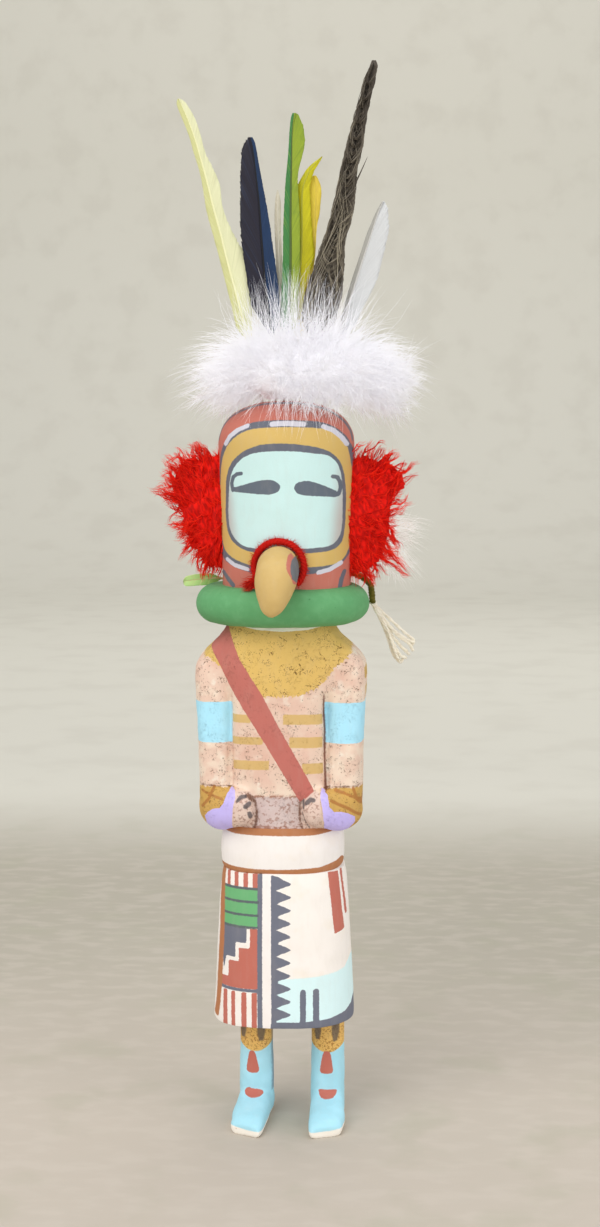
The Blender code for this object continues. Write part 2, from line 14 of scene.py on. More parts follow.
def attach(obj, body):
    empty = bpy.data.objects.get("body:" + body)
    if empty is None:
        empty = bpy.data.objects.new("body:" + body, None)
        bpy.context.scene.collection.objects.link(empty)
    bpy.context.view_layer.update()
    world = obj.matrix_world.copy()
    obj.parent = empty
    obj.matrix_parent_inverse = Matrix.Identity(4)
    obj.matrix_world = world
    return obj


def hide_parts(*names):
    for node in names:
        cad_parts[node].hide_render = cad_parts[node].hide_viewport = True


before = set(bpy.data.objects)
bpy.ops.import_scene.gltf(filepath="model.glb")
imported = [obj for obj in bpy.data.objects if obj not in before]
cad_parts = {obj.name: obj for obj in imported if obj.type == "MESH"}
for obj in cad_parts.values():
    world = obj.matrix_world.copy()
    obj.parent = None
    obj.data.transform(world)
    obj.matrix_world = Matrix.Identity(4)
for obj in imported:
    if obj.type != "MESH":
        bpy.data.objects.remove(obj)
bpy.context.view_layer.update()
MM = 0.001
BACK = (0, 1, 0)
UP = (0, 0, 1)

# The figure's main sizes, as in the solids
GAP = 0.0003
LEG_HEIGHT = 0.0345
KILT_HEIGHT = 0.0492
BELT_HEIGHT = 0.0143
TORSO_HEIGHT = 0.0700
HEAD_HEIGHT = 0.0633
LEG_HALF_WIDTH = 0.0054
LEG_HALF_DEPTH = 0.0055
LEG_SPACING = 0.0232
LEGS_CENTRE_X = 0.0025
FOOT_HALF_WIDTH = 0.0057
FOOT_LENGTH = 0.0280
FOOT_HEIGHT = 0.0100
HEEL_BACK = 0.0078
RIGHT_TOE_OUT = radians(7)
LEFT_TOE_OUT = radians(0.5)
TOE_SLANT = 0.34
KILT_HALF_WIDTH = 0.0225
KILT_HALF_DEPTH = 0.0180
KILT_POWER = 2.35
KILT_RIGHT_POWER = 2.9
BELT_HALF_WIDTH = 0.0196
BELT_HALF_DEPTH = 0.0156
BELT_CENTRE_X = -0.0004
TORSO_HALF_WIDTH = 0.0165
TORSO_HALF_DEPTH = 0.0156
TORSO_CENTRE_X = -0.0010
ARM_HALF_WIDTH = 0.0066
ARM_HALF_DEPTH = 0.0126
ARM_OFFSET = 0.0209
HAND_OFFSET = 0.0112
HAND_FRONT = 0.0140
FOREARM_HALF_HEIGHT = 0.0069
FOREARM_HALF_THICKNESS = 0.0066
COLLAR_HALF_WIDTH = 0.0273
COLLAR_HALF_DEPTH = 0.0246
COLLAR_THICKNESS = 0.0118
COLLAR_CENTRE_X = -0.0005
HEAD_HALF_WIDTH = 0.0212
HEAD_HALF_DEPTH = 0.0200
HEAD_CENTRE_X = 0.0008
HEAD_POWER = 2.25
HEAD_TAPER = 0.055
CROWN_POWER = 2.45
CROWN_RISE = 0.0143
BEAK_HALF_WIDTH = 0.0064
BEAK_HALF_HEIGHT = 0.0066
BEAK_REACH = 0.0126
BEAK_DROP = 0.0138
BEAK_CENTRE_X = -0.0004
BEAK_SIDEWAYS = 0.0016
BEAK_ABOVE_COLLAR = 0.0008
BINDING_RADIUS = 0.0011
BINDING_LENGTH = 0.0080
BINDING_BACK = 0.0082
HEM_Z = LEG_HEIGHT
BELT_Z = HEM_Z + KILT_HEIGHT
WAIST_Z = BELT_Z + BELT_HEIGHT
COLLAR_Z = WAIST_Z + TORSO_HEIGHT
CROWN_Z = COLLAR_Z + HEAD_HEIGHT
CROWN_SPRING_Z = CROWN_Z - CROWN_RISE
COLLAR_TOP_Z = COLLAR_Z + COLLAR_THICKNESS / 2
BEAK_ROOT_Z = COLLAR_TOP_Z + BEAK_ABOVE_COLLAR + BEAK_HALF_HEIGHT


# Meshes

def mesh_object(name, points, quads, triangles=()):
    """Object from points, four-cornered faces and three-cornered faces."""
    quads = np.asarray(quads, np.int32).reshape(-1, 4)
    triangles = np.asarray(triangles, np.int32).reshape(-1, 3)
    mesh = bpy.data.meshes.new(name)
    mesh.vertices.add(len(points))
    mesh.vertices.foreach_set("co", np.ascontiguousarray(points, np.float32).ravel())
    corners = np.concatenate([quads.ravel(), triangles.ravel()])
    mesh.loops.add(len(corners))
    mesh.loops.foreach_set("vertex_index", corners)
    starts = np.concatenate([np.arange(len(quads)) * 4, len(quads) * 4 + np.arange(len(triangles)) * 3])
    mesh.polygons.add(len(starts))
    mesh.polygons.foreach_set("loop_start", starts.astype(np.int32))
    mesh.update(calc_edges=True)
    mesh.shade_smooth()
    obj = bpy.data.objects.new(name, mesh)
    bpy.context.scene.collection.objects.link(obj)
    return obj


def points_of(obj):
    """The object's points as rows of x, y, z in metres."""
    points = np.empty(len(obj.data.vertices) * 3, np.float32)
    obj.data.vertices.foreach_get("co", points)
    return points.reshape(-1, 3).astype(float)


def normals_of(obj):
    """The normal at each point."""
    normals = np.empty(len(obj.data.vertices) * 3, np.float32)
    obj.data.vertex_normals.foreach_get("vector", normals)
    return normals.reshape(-1, 3).astype(float)


def move_points(obj, points):
    """Give the object's points new places."""
    obj.data.vertices.foreach_set("co", np.ascontiguousarray(points, np.float32).ravel())
    obj.data.update()


def between(table, steps):
    """A table of sections made finer, on a smooth curve through its rows."""
    table = np.asarray(table, float)
    padded = np.vstack([2 * table[0] - table[1], table, 2 * table[-1] - table[-2]])
    rows = []
    for a, b, c, d in zip(padded, padded[1:], padded[2:], padded[3:]):
        for step in range(steps):
            t = step / steps
            rows.append(0.5 * (2 * b + (c - a) * t + (2 * a - 5 * b + 4 * c - d) * t ** 2
                               + (3 * b - a - 3 * c + d) * t ** 3))
    rows.append(table[-1])
    return np.array(rows)


def outline(half_u, half_v, power, sides, left_power=None):
    """Evenly spaced points of a rounded outline; a second power squares off its -u side."""
    turn = tau * (np.arange(sides * 6) + 0.5) / (sides * 6)
    bulge = np.where(np.cos(turn) < 0, left_power or power, power)
    u = half_u * np.sign(np.cos(turn)) * np.abs(np.cos(turn)) ** (2 / bulge)
    v = half_v * np.sign(np.sin(turn)) * np.abs(np.sin(turn)) ** (2 / bulge)
    length = np.concatenate([[0], np.cumsum(np.hypot(np.diff(u, append=u[0]), np.diff(v, append=v[0])))])
    places = length[-1] * np.arange(sides) / sides
    return np.stack([np.interp(places, length, np.append(u, u[0])),
                     np.interp(places, length, np.append(v, v[0]))], axis=1)


def skin(name, rings):
    """Closed skin through rings of points, with a fan at each end."""
    rings = np.asarray(rings)
    rows, sides = rings.shape[:2]
    index = np.arange(rows * sides).reshape(rows, sides)
    after = np.roll(index, -1, axis=1)
    quads = np.stack([index[:-1], after[:-1], after[1:], index[1:]], axis=-1)
    first, last = rows * sides, rows * sides + 1
    ends = [np.stack([after[0], index[0], np.full(sides, first)], axis=-1),
            np.stack([index[-1], after[-1], np.full(sides, last)], axis=-1)]
    points = np.vstack([rings.reshape(-1, 3), rings[0].mean(0), rings[-1].mean(0)])
    return mesh_object(name, points, quads, np.vstack(ends))


def stack(name, sections, sides):
    """Skin of level outlines; each section is x, y, z, half width, half depth, power, left power."""
    rings = []
    for x, y, z, wide, deep, power, left_power in sections:
        flat = outline(wide, deep, power, sides, left_power)
        rings.append(np.column_stack([flat[:, 0] + x, flat[:, 1] + y, np.full(sides, z)]))
    return skin(name, rings)


def ways_along(path):
    """Direction of travel at each point of one path."""
    ways = np.gradient(np.asarray(path, float), axis=0)
    return ways / np.linalg.norm(ways, axis=1, keepdims=True)


def side_ways(ways, up=BACK):
    """Two directions square to each way and to each other."""
    across = np.cross(ways, up)
    across /= np.linalg.norm(across, axis=-1, keepdims=True)
    return across, np.cross(across, ways)


def bowed(start, end, bow, step):
    """Points from start to end that swing out by a bow half-way."""
    return start + (end - start) * step + np.asarray(bow) * 4 * step * (1 - step)


def on_curve(places, length, points):
    """Points at some distances along a curve."""
    return np.column_stack([np.interp(places, length, points[:, k]) for k in range(3)])


def rod(name, path, radii, sides, up=BACK):
    """Round rod along a path with a radius at each point."""
    across, lift = side_ways(ways_along(path), up)
    turn = tau * np.arange(sides) / sides
    rings = [centre + radius * (np.outer(np.cos(turn), a) + np.outer(np.sin(turn), b))
             for centre, radius, a, b in zip(path, radii, across, lift)]
    return skin(name, rings)


def strands(name, paths, radii, rng):
    """Fine three-sided strands along many paths, each closed and drawn out to a point."""
    count, steps = paths.shape[:2]
    ways = np.gradient(paths, axis=1)
    ways /= np.linalg.norm(ways, axis=2, keepdims=True) + 1e-12
    guide = rng.normal(size=(count, 1, 3))
    across = np.cross(ways, guide)
    across /= np.linalg.norm(across, axis=2, keepdims=True) + 1e-12
    lift = np.cross(ways, across)
    taper = 1 - 0.75 * (np.arange(steps - 1) / (steps - 1)) ** 1.5
    size = (radii[:, None] * taper)[..., None, None]
    turn = tau * np.arange(3) / 3
    rings = paths[:, :-1, None, :] + size * (across[:, :-1, None, :] * np.cos(turn)[:, None]
                                             + lift[:, :-1, None, :] * np.sin(turn)[:, None])
    each = (steps - 1) * 3 + 1
    points = np.concatenate([rings.reshape(count, -1, 3), paths[:, -1:]], axis=1)
    ring = np.arange(3)
    after = (ring + 1) % 3
    quads = np.concatenate([
        np.stack([ring + 3 * row, after + 3 * row, after + 3 * row + 3, ring + 3 * row + 3], axis=-1)
        for row in range(steps - 2)])
    last = 3 * (steps - 2)
    triangles = np.concatenate([np.stack([ring + last, after + last, np.full(3, each - 1)], axis=-1),
                                [[2, 1, 0]]])
    shift = (np.arange(count) * each)[:, None, None]
    obj = mesh_object(name, points.reshape(-1, 3), (quads + shift).reshape(-1, 4),
                      (triangles + shift).reshape(-1, 3))
    write(obj, tone=np.repeat(rng.random(count), each),
          along=np.tile(np.append(np.repeat(np.arange(steps - 1), 3), steps - 1) / (steps - 1), count))
    return obj


def join(name, *objects):
    """One object from several."""
    with bpy.context.temp_override(active_object=objects[0], selected_editable_objects=objects):
        bpy.ops.object.join()
    objects[0].name = name
    objects[0].data.name = name
    return objects[0]


def fuse(name, objects, voxel, smoothing):
    """One skin round several shapes, remade in small even faces and smoothed."""
    obj = join(name, *objects)
    remesh = obj.modifiers.new("remesh", "REMESH")
    remesh.mode = "VOXEL"
    remesh.voxel_size = voxel
    smooth = obj.modifiers.new("smooth", "SMOOTH")
    smooth.factor = 0.5
    smooth.iterations = smoothing
    mesh = bpy.data.meshes.new_from_object(obj.evaluated_get(bpy.context.evaluated_depsgraph_get()))
    obj.modifiers.clear()
    obj.data = mesh
    mesh.name = name
    mesh.shade_smooth()
    return obj


def roughen(obj, amount, size, seed=0.0, keep_floor=False):
    """Push the skin in and out a little, as a knife and brush leave it."""
    points, normals = points_of(obj), normals_of(obj)
    shift = np.array([noise.noise(Vector(p / size) + Vector((seed, 0, 0)))
                      + 0.5 * noise.noise(Vector(p / size * 2.3) + Vector((0, seed, 9))) for p in points])
    if keep_floor:
        shift *= np.clip(points[:, 2] / (1.5 * MM), 0, 1)
    move_points(obj, points + normals * (shift * amount)[:, None])


# Painted areas: signed distances in millimetres, positive inside

def write(obj, **fields):
    """Keep a value for each point under a name that a finish reads."""
    for name, values in fields.items():
        layer = obj.data.attributes.new(name, "FLOAT", "POINT")
        layer.data.foreach_set("value", np.ascontiguousarray(values, np.float32))


def rounded(corners, times=2):
    """A closed outline with its corners cut round."""
    corners = np.asarray(corners, float)
    for _ in range(times):
        after = np.roll(corners, -1, axis=0)
        corners = np.stack([0.75 * corners + 0.25 * after, 0.25 * corners + 0.75 * after],
                           axis=1).reshape(-1, 2)
    return corners


def area(places, corners):
    """Signed distance to the edge of a closed outline."""
    start = np.asarray(corners, float)
    edge = np.roll(start, -1, axis=0) - start
    gap = places[:, None, :] - start
    along = np.clip((gap * edge).sum(-1) / (edge ** 2).sum(-1), 0, 1)
    distance = np.linalg.norm(gap - along[..., None] * edge, axis=-1).min(axis=1)
    height = places[:, None, 1]
    crosses = (start[:, 1] > height) != (start[:, 1] + edge[:, 1] > height)
    rise = np.where(edge[:, 1] == 0, 1e-9, edge[:, 1])
    crossing = start[:, 0] + (height - start[:, 1]) / rise * edge[:, 0]
    odd = (crosses & (places[:, None, 0] < crossing)).sum(axis=1) % 2
    return np.where(odd, distance, -distance)


def blob(places, corners, times=2):
    """Signed distance to the edge of a closed outline with its corners cut round."""
    return area(places, rounded(corners, times))


def line(places, corners, width):
    """Distance inside a brush line of a width along an open path."""
    start = np.asarray(corners, float)
    edge = start[1:] - start[:-1]
    gap = places[:, None, :] - start[:-1]
    along = np.clip((gap * edge).sum(-1) / (edge ** 2).sum(-1), 0, 1)
    return width / 2 - np.linalg.norm(gap - along[..., None] * edge, axis=-1).min(axis=1)


def box(places, left, right, low, high):
    """Distance inside an upright rectangle."""
    return np.minimum(np.minimum(places[:, 0] - left, right - places[:, 0]),
                      np.minimum(places[:, 1] - low, high - places[:, 1]))


def any_of(*areas):
    """Inside any of several areas."""
    return np.max(areas, axis=0)


# Finishes

class Finish:
    """One procedural material, laid up coat by coat."""

    def __init__(self, name, colour, roughness, shine=0.22):
        self.material = bpy.data.materials.new(name)
        self.material.use_nodes = True
        self.tree = self.material.node_tree
        self.shader = self.tree.nodes["Principled BSDF"]
        self.shader.inputs["Roughness"].default_value = roughness
        self.shader.inputs["Specular IOR Level"].default_value = shine
        self.place = self.node("ShaderNodeTexCoord").outputs["Object"]
        self.colour = (*colour, 1)
        self.height = None
        self.wobble = self.math("SUBTRACT", self.noise(0.9 * MM, 2), 0.5)

    def node(self, kind, **settings):
        """A node with some of its properties set."""
        node = self.tree.nodes.new(kind)
        for key, value in settings.items():
            setattr(node, key, value)
        return node

    def put(self, socket, value):
        """Link a socket, or set its value."""
        if isinstance(value, bpy.types.NodeSocket):
            self.tree.links.new(value, socket)
        else:
            socket.default_value = value

    def math(self, operation, a, b=0.0):
        """One sum."""
        node = self.node("ShaderNodeMath", operation=operation)
        self.put(node.inputs[0], a)
        self.put(node.inputs[1], b)
        return node.outputs[0]

    def noise(self, size, detail=3.0, stretch=(1, 1, 1), distortion=0.0):
        """Soft noise from 0 to 1 with features of a size in metres."""
        spread = self.node("ShaderNodeVectorMath", operation="MULTIPLY")
        self.put(spread.inputs[0], self.place)
        spread.inputs[1].default_value = stretch
        node = self.node("ShaderNodeTexNoise")
        self.put(node.inputs["Vector"], spread.outputs[0])
        node.inputs["Scale"].default_value = 1 / size
        node.inputs["Detail"].default_value = detail
        node.inputs["Distortion"].default_value = distortion
        return node.outputs["Fac"]

    def cells(self, size):
        """Distance to the middle of the nearest of many scattered cells."""
        node = self.node("ShaderNodeTexVoronoi")
        self.put(node.inputs["Vector"], self.place)
        node.inputs["Scale"].default_value = 1 / size
        return node.outputs["Distance"]

    def streaks(self, along, across):
        """Noise drawn out along a feather's barbs."""
        join_up = self.node("ShaderNodeCombineXYZ")
        self.put(join_up.inputs[0], self.math("MULTIPLY", self.field("barb"), along))
        self.put(join_up.inputs[1], self.math("MULTIPLY", self.field("out"), across))
        self.put(join_up.inputs[2], self.math("MULTIPLY", self.field("side"), 7.0))
        node = self.node("ShaderNodeTexNoise")
        self.put(node.inputs["Vector"], join_up.outputs[0])
        node.inputs["Scale"].default_value = 1.0
        node.inputs["Detail"].default_value = 3.0
        return node.outputs["Fac"]

    def field(self, name):
        """A value kept on the mesh."""
        return self.node("ShaderNodeAttribute", attribute_name=name).outputs["Fac"]

    def step(self, value, low, high):
        """0 below low, 1 above high, smooth between."""
        node = self.node("ShaderNodeMapRange", interpolation_type="SMOOTHSTEP")
        self.put(node.inputs["Value"], value)
        node.inputs["From Min"].default_value = low
        node.inputs["From Max"].default_value = high
        return node.outputs["Result"]

    def mix(self, share, under, over):
        """One colour over another."""
        node = self.node("ShaderNodeMix", data_type="RGBA")
        self.put(node.inputs["Factor"], share)
        self.put(node.inputs["A"], under if isinstance(under, bpy.types.NodeSocket) else (*under[:3], 1))
        self.put(node.inputs["B"], over if isinstance(over, bpy.types.NodeSocket) else (*over[:3], 1))
        return node.outputs["Result"]

    def coat(self, share, colour, strength=1.0):
        """Lay a colour over what is there."""
        if strength != 1.0:
            share = self.math("MULTIPLY", share, strength)
        self.colour = self.mix(share, self.colour, colour)

    def area(self, field, colour, soft=0.10, strength=1.0, ragged=0.35):
        """Paint the inside of an area kept on the mesh, with a slightly ragged edge."""
        self.coat(self.inside(field, soft, ragged), colour, strength)

    def inside(self, field, soft=0.10, ragged=0.35):
        """Share of an area kept on the mesh."""
        edge = self.math("ADD", self.field(field), self.math("MULTIPLY", self.wobble, ragged))
        return self.step(edge, -soft, soft)

    def bump(self, height, depth):
        """Raise or sink the surface by a height from 0 to 1 times a depth in metres."""
        height = self.math("MULTIPLY", height, depth)
        self.height = height if self.height is None else self.math("ADD", self.height, height)

    def patches(self, size, detail, low, high, colour, strength=1.0, within=None, **shape):
        """Lay a colour over in patches of noise, kept within a share where one is given."""
        share = self.step(self.noise(size, detail, **shape), low, high)
        if within is not None:
            share = self.math("MULTIPLY", share, within)
        self.coat(share, colour, strength)

    def onto(self, obj):
        """Wire up the finish, give it to a piece and hand the piece back."""
        self.put(self.shader.inputs["Base Color"], self.colour)
        if self.height is not None:
            node = self.node("ShaderNodeBump")
            node.inputs["Distance"].default_value = 1.0
            node.inputs["Strength"].default_value = 0.8
            self.put(node.inputs["Height"], self.height)
            self.put(self.shader.inputs["Normal"], node.outputs["Normal"])
        obj.data.materials.append(self.material)
        return obj


AQUA = (0.60, 0.82, 0.80)
OCHRE = (0.66, 0.45, 0.14)
BRICK = (0.55, 0.17, 0.125)
SLATE = (0.135, 0.145, 0.18)
CHALK = (0.64, 0.63, 0.70)
SKY = (0.45, 0.83, 1.0)
LAVENDER = (0.61, 0.52, 0.96)
RUST = (0.48, 0.20, 0.085)
UMBER = (0.16, 0.075, 0.03)
BODY_PINK = (0.76, 0.46, 0.36)
YARN_REDS = ((0.36, 0.002, 0.001), (0.82, 0.008, 0.002), (1.0, 0.035, 0.008))
DOWN_WHITES = ((0.84, 0.83, 0.86), (0.92, 0.91, 0.94), (0.97, 0.96, 0.98))
RING_REDS = ((0.34, 0.002, 0.001), (0.62, 0.010, 0.003), (0.80, 0.030, 0.008))
PLUME_WHITES = ((0.78, 0.75, 0.72), (0.86, 0.84, 0.81), (0.93, 0.91, 0.89))


def brushed(finish, amount):
    """Streaks, faint stains and grain of brushed mineral paint over wood."""
    streaks = finish.noise(1.6 * MM, 4, (1, 1, 0.25))
    finish.coat(finish.step(streaks, 0.45, 0.75), (0.558, 0.496, 0.434), amount)
    finish.patches(9 * MM, 3, 0.5, 0.75, (0.50, 0.38, 0.26), amount * 0.8)
    finish.bump(finish.noise(0.5 * MM, 4), 0.05 * MM)
    finish.bump(streaks, 0.06 * MM)


def flecks(finish):
    """Small brown pits where a stiff brush or sponge missed the wood."""
    wormy = finish.step(finish.noise(0.75 * MM, 5, distortion=1.6), 0.59, 0.655)
    pits = finish.math("MULTIPLY", wormy, finish.step(finish.noise(4.5 * MM, 3), 0.46, 0.54))
    dots = finish.math("MULTIPLY", finish.step(finish.cells(1.25 * MM), 0.17, 0.08),
                       finish.step(finish.noise(2.6 * MM, 1), 0.46, 0.56))
    finish.coat(pits, UMBER, 0.78)
    finish.coat(dots, UMBER, 0.75)
    finish.bump(finish.math("MAXIMUM", pits, dots), -0.12 * MM)
    return pits


# The carved figure

def front_places(points):
    """Millimetres across and up for each point."""
    return points[:, (0, 2)] / MM


def only(mask, values):
    """Keep an area only where the mask is true."""
    return np.where(mask, values, -9.0)


def head():
    """Barrel-shaped head with a domed crown and the mask painted on its front."""
    level = np.linspace(COLLAR_Z, CROWN_SPRING_Z, 86)[:-1]
    turn = np.linspace(0, pi / 2, 34)[:-1]
    heights = np.concatenate([level, CROWN_SPRING_Z + CROWN_RISE * np.sin(turn) ** (2 / CROWN_POWER)])
    taper = 1 - HEAD_TAPER * (CROWN_SPRING_Z - level) / (CROWN_SPRING_Z - COLLAR_Z)
    radii = np.concatenate([taper, np.cos(turn) ** (2 / CROWN_POWER)])
    obj = stack("head", [(HEAD_CENTRE_X, 0, z, HEAD_HALF_WIDTH * r, HEAD_HALF_DEPTH * r, HEAD_POWER, None)
                         for z, r in zip(heights, radii)], 230)
    write_mask(obj)
    roughen(obj, 0.16 * MM, 7 * MM, 1.0)
    finish = Finish("painted_head", BRICK, 0.62)
    finish.area("crown", SLATE, 0.2, 0.9)
    finish.area("dark", SLATE)
    finish.area("ochre", OCHRE)
    finish.area("border", SLATE)
    finish.area("aqua", AQUA)
    # Painted shade and a painted pink reflection of the red tufts, darkening the aqua face towards both sides
    # and the bottom
    finish.coat(finish.math("MULTIPLY", finish.step(finish.field("grime"), -0.6, 4.2), finish.inside("aqua")),
                (0.50, 0.40, 0.37), 0.75)
    finish.area("eyes", (0.125, 0.15, 0.185))
    finish.area("dashes", CHALK)
    brushed(finish, 0.07)
    return finish.onto(obj)


def write_mask(obj):
    """Keep the painted areas of the mask and crown on the head."""
    points = points_of(obj)
    places = front_places(points)
    front = points[:, 1] < -1 * MM
    dark = [(-20.1, 209.8), (-19.5, 214.6), (-17.9, 218.4), (-15.1, 221.5), (-11.6, 223.9), (-7.5, 225.0),
            (-3.2, 225.4), (5.9, 225.4), (11.9, 225.0), (15.8, 223.7), (19.1, 221.4), (21.4, 218.0),
            (22.3, 214.4), (22.3, 190), (20.6, 182.6), (14.4, 179), (6, 178.4), (-7.9, 178.5), (-14.7, 180.3),
            (-19.5, 182.8), (-20.8, 190)]
    ochre = [(-19.6, 200.6), (-19.2, 209.9), (-18.3, 214.7), (-16.8, 217.5), (-14.4, 220.0), (-11.2, 222.1),
             (-7.4, 223.0), (-3.1, 223.2), (1.4, 223.3), (9.0, 223.2), (14.3, 222.7), (17.3, 221.2),
             (19.7, 218.4), (20.9, 214.6), (21.5, 209.9), (21.6, 199.0), (21.2, 188.1), (19.9, 183.6),
             (17.6, 181.6), (13.5, 180.9), (7.8, 180.7), (-0.1, 180.9), (-7.9, 181.0), (-12.7, 182.0),
             (-16.1, 183.6), (-18.3, 185.4), (-19.3, 189.6)]
    border = [(-17.5, 200.8), (-17.4, 194.6), (-16.7, 191.0), (-15.3, 188.3), (-12.6, 186.3), (-9.4, 185.3),
              (-5.6, 185.1), (7.5, 185.0), (11.4, 185.2), (15.0, 185.5), (17.4, 186.5), (18.9, 188.5),
              (19.4, 192.2), (19.7, 197.8), (19.7, 203.9), (19.4, 208.6), (18.5, 212.0), (16.8, 214.5),
              (14.1, 216.4), (10.5, 217.4), (6.0, 218.1), (1.5, 218.4), (-3.0, 218.3), (-6.7, 217.9),
              (-10.5, 216.4), (-13.1, 214.8), (-15.5, 212.3), (-16.7, 209.2), (-17.3, 205.5)]
    aqua = [(-16.4, 200.9), (-16.5, 194.7), (-15.6, 191.1), (-14.0, 188.7), (-11.7, 187.0), (-8.8, 186.5),
            (-5.6, 186.3), (6.0, 186.4), (11.4, 186.6), (15.0, 187.0), (17.1, 188.4), (18.3, 190.8),
            (18.7, 194.8), (18.7, 204.0), (18.5, 207.7), (17.9, 210.8), (16.5, 213.3), (14.4, 214.9),
            (10.8, 215.3), (6.0, 215.9), (1.5, 216.1), (-3.1, 216.0), (-6.7, 215.7), (-9.9, 214.9),
            (-12.5, 213.3), (-14.4, 211.1), (-15.7, 208.0), (-16.2, 204.6)]
    left_eye = [(-15.2, 204.7), (-12.5, 205.4), (-9.3, 206.4), (-6.2, 207.2), (-3.1, 207.5), (-0.9, 206.8),
                (0.3, 205.3), (-0.6, 203.7), (-2.8, 202.9), (-5.6, 202.9), (-9.3, 203.2), (-12.5, 203.4),
                (-15.2, 203.6)]
    right_eye = [(17.7, 203.0), (16.5, 204.1), (13.5, 205.5), (10.5, 206.6), (8.1, 207.2), (5.2, 206.7),
                 (4.0, 205.1), (4.8, 203.5), (6.3, 202.8), (10.5, 202.4), (14.4, 202.2), (17.3, 201.9)]
    eyes = any_of(blob(places, left_eye, 1), blob(places, right_eye, 1),
                  line(places, [(-14.9, 204.0), (-15.3, 206.0), (-14.7, 208.0), (-13.5, 209.0),
                                (-12.1, 209.2)], 1.15),
                  line(places, [(17.5, 202.8), (18.2, 205.0), (17.9, 206.8), (17.1, 208.1),
                                (15.8, 208.3)], 1.2))
    dashes = any_of(line(places, [(-2.6, 224.2), (1.4, 224.4), (7.1, 224.2)], 1.55),
                    line(places, [(-17.4, 218.0), (-15.8, 220.4), (-13.3, 222.4), (-10.1, 223.8)], 1.3),
                    line(places, [(12.9, 223.5), (15.8, 222.4), (18.2, 220.4), (20.0, 218.0)], 1.4),
                    line(places, [(-17.1, 182.5), (-14.6, 181.0), (-10.2, 179.9)], 1.25),
                    line(places, [(11.5, 179.0), (15.0, 179.8), (18.3, 181.6)], 1.35))
    climb = np.clip((places[:, 1] - 222) / 8, 0, 1)
    crown = np.minimum(1.5 - np.abs(points[:, 1] / MM + 4.5 + 3.6 * climb), (places[:, 1] - 219) / 2)
    marks = any_of(line(places, [(-18.6, 178.2), (-16.6, 176.2), (-15.0, 174.6)], 1.5),
                   line(places, [(19.3, 178.8), (18.3, 176.2), (17.9, 174.0)], 1.3))
    # The face's painted shade and tuft reflection grow towards both sides and downwards
    write(obj, dark=only(front, any_of(blob(places, dark), marks)),
          ochre=only(front, blob(places, ochre)), border=only(front, blob(places, border)),
          aqua=only(front, blob(places, aqua)), eyes=only(front, eyes),
          dashes=only(front, dashes), crown=crown,
          grime=only(front, np.maximum(places[:, 0] - 15.2, -13.6 - places[:, 0])
                     + (200 - places[:, 1]) * 0.12))


def collar():
    """Thick round-edged ruff, sponged green."""
    radius = COLLAR_THICKNESS / 2
    inner = [(COLLAR_HALF_WIDTH * share, COLLAR_HALF_DEPTH * share) for share in (0.35, 0.7)]
    rows = [(wide, deep, -radius) for wide, deep in inner]
    for turn in np.linspace(-pi / 2, pi / 2, 40):
        inset = radius * (1 - cos(turn))
        rows.append((COLLAR_HALF_WIDTH - inset, COLLAR_HALF_DEPTH - inset, radius * sin(turn)))
    rows += [(wide, deep, radius) for wide, deep in inner[::-1]]
    obj = stack("ruff", [(COLLAR_CENTRE_X, 0, COLLAR_Z + z, wide, deep, 2.1, None)
                         for wide, deep, z in rows], 260)
    roughen(obj, 0.22 * MM, 9 * MM, 2.0)
    finish = Finish("painted_ruff", (0.125, 0.37, 0.15), 0.68)
    finish.patches(2.6 * MM, 4, 0.42, 0.7, (0.16, 0.43, 0.19), 0.5)
    finish.patches(7 * MM, 3, 0.5, 0.7, (0.10, 0.33, 0.13), 0.35)
    finish.patches(1.2 * MM, 2, 0.70, 0.76, (0.05, 0.2, 0.06), 0.5)
    finish.bump(finish.noise(0.7 * MM, 4), 0.08 * MM)
    finish.bump(finish.noise(2.4 * MM, 3), 0.12 * MM)
    return finish.onto(obj)


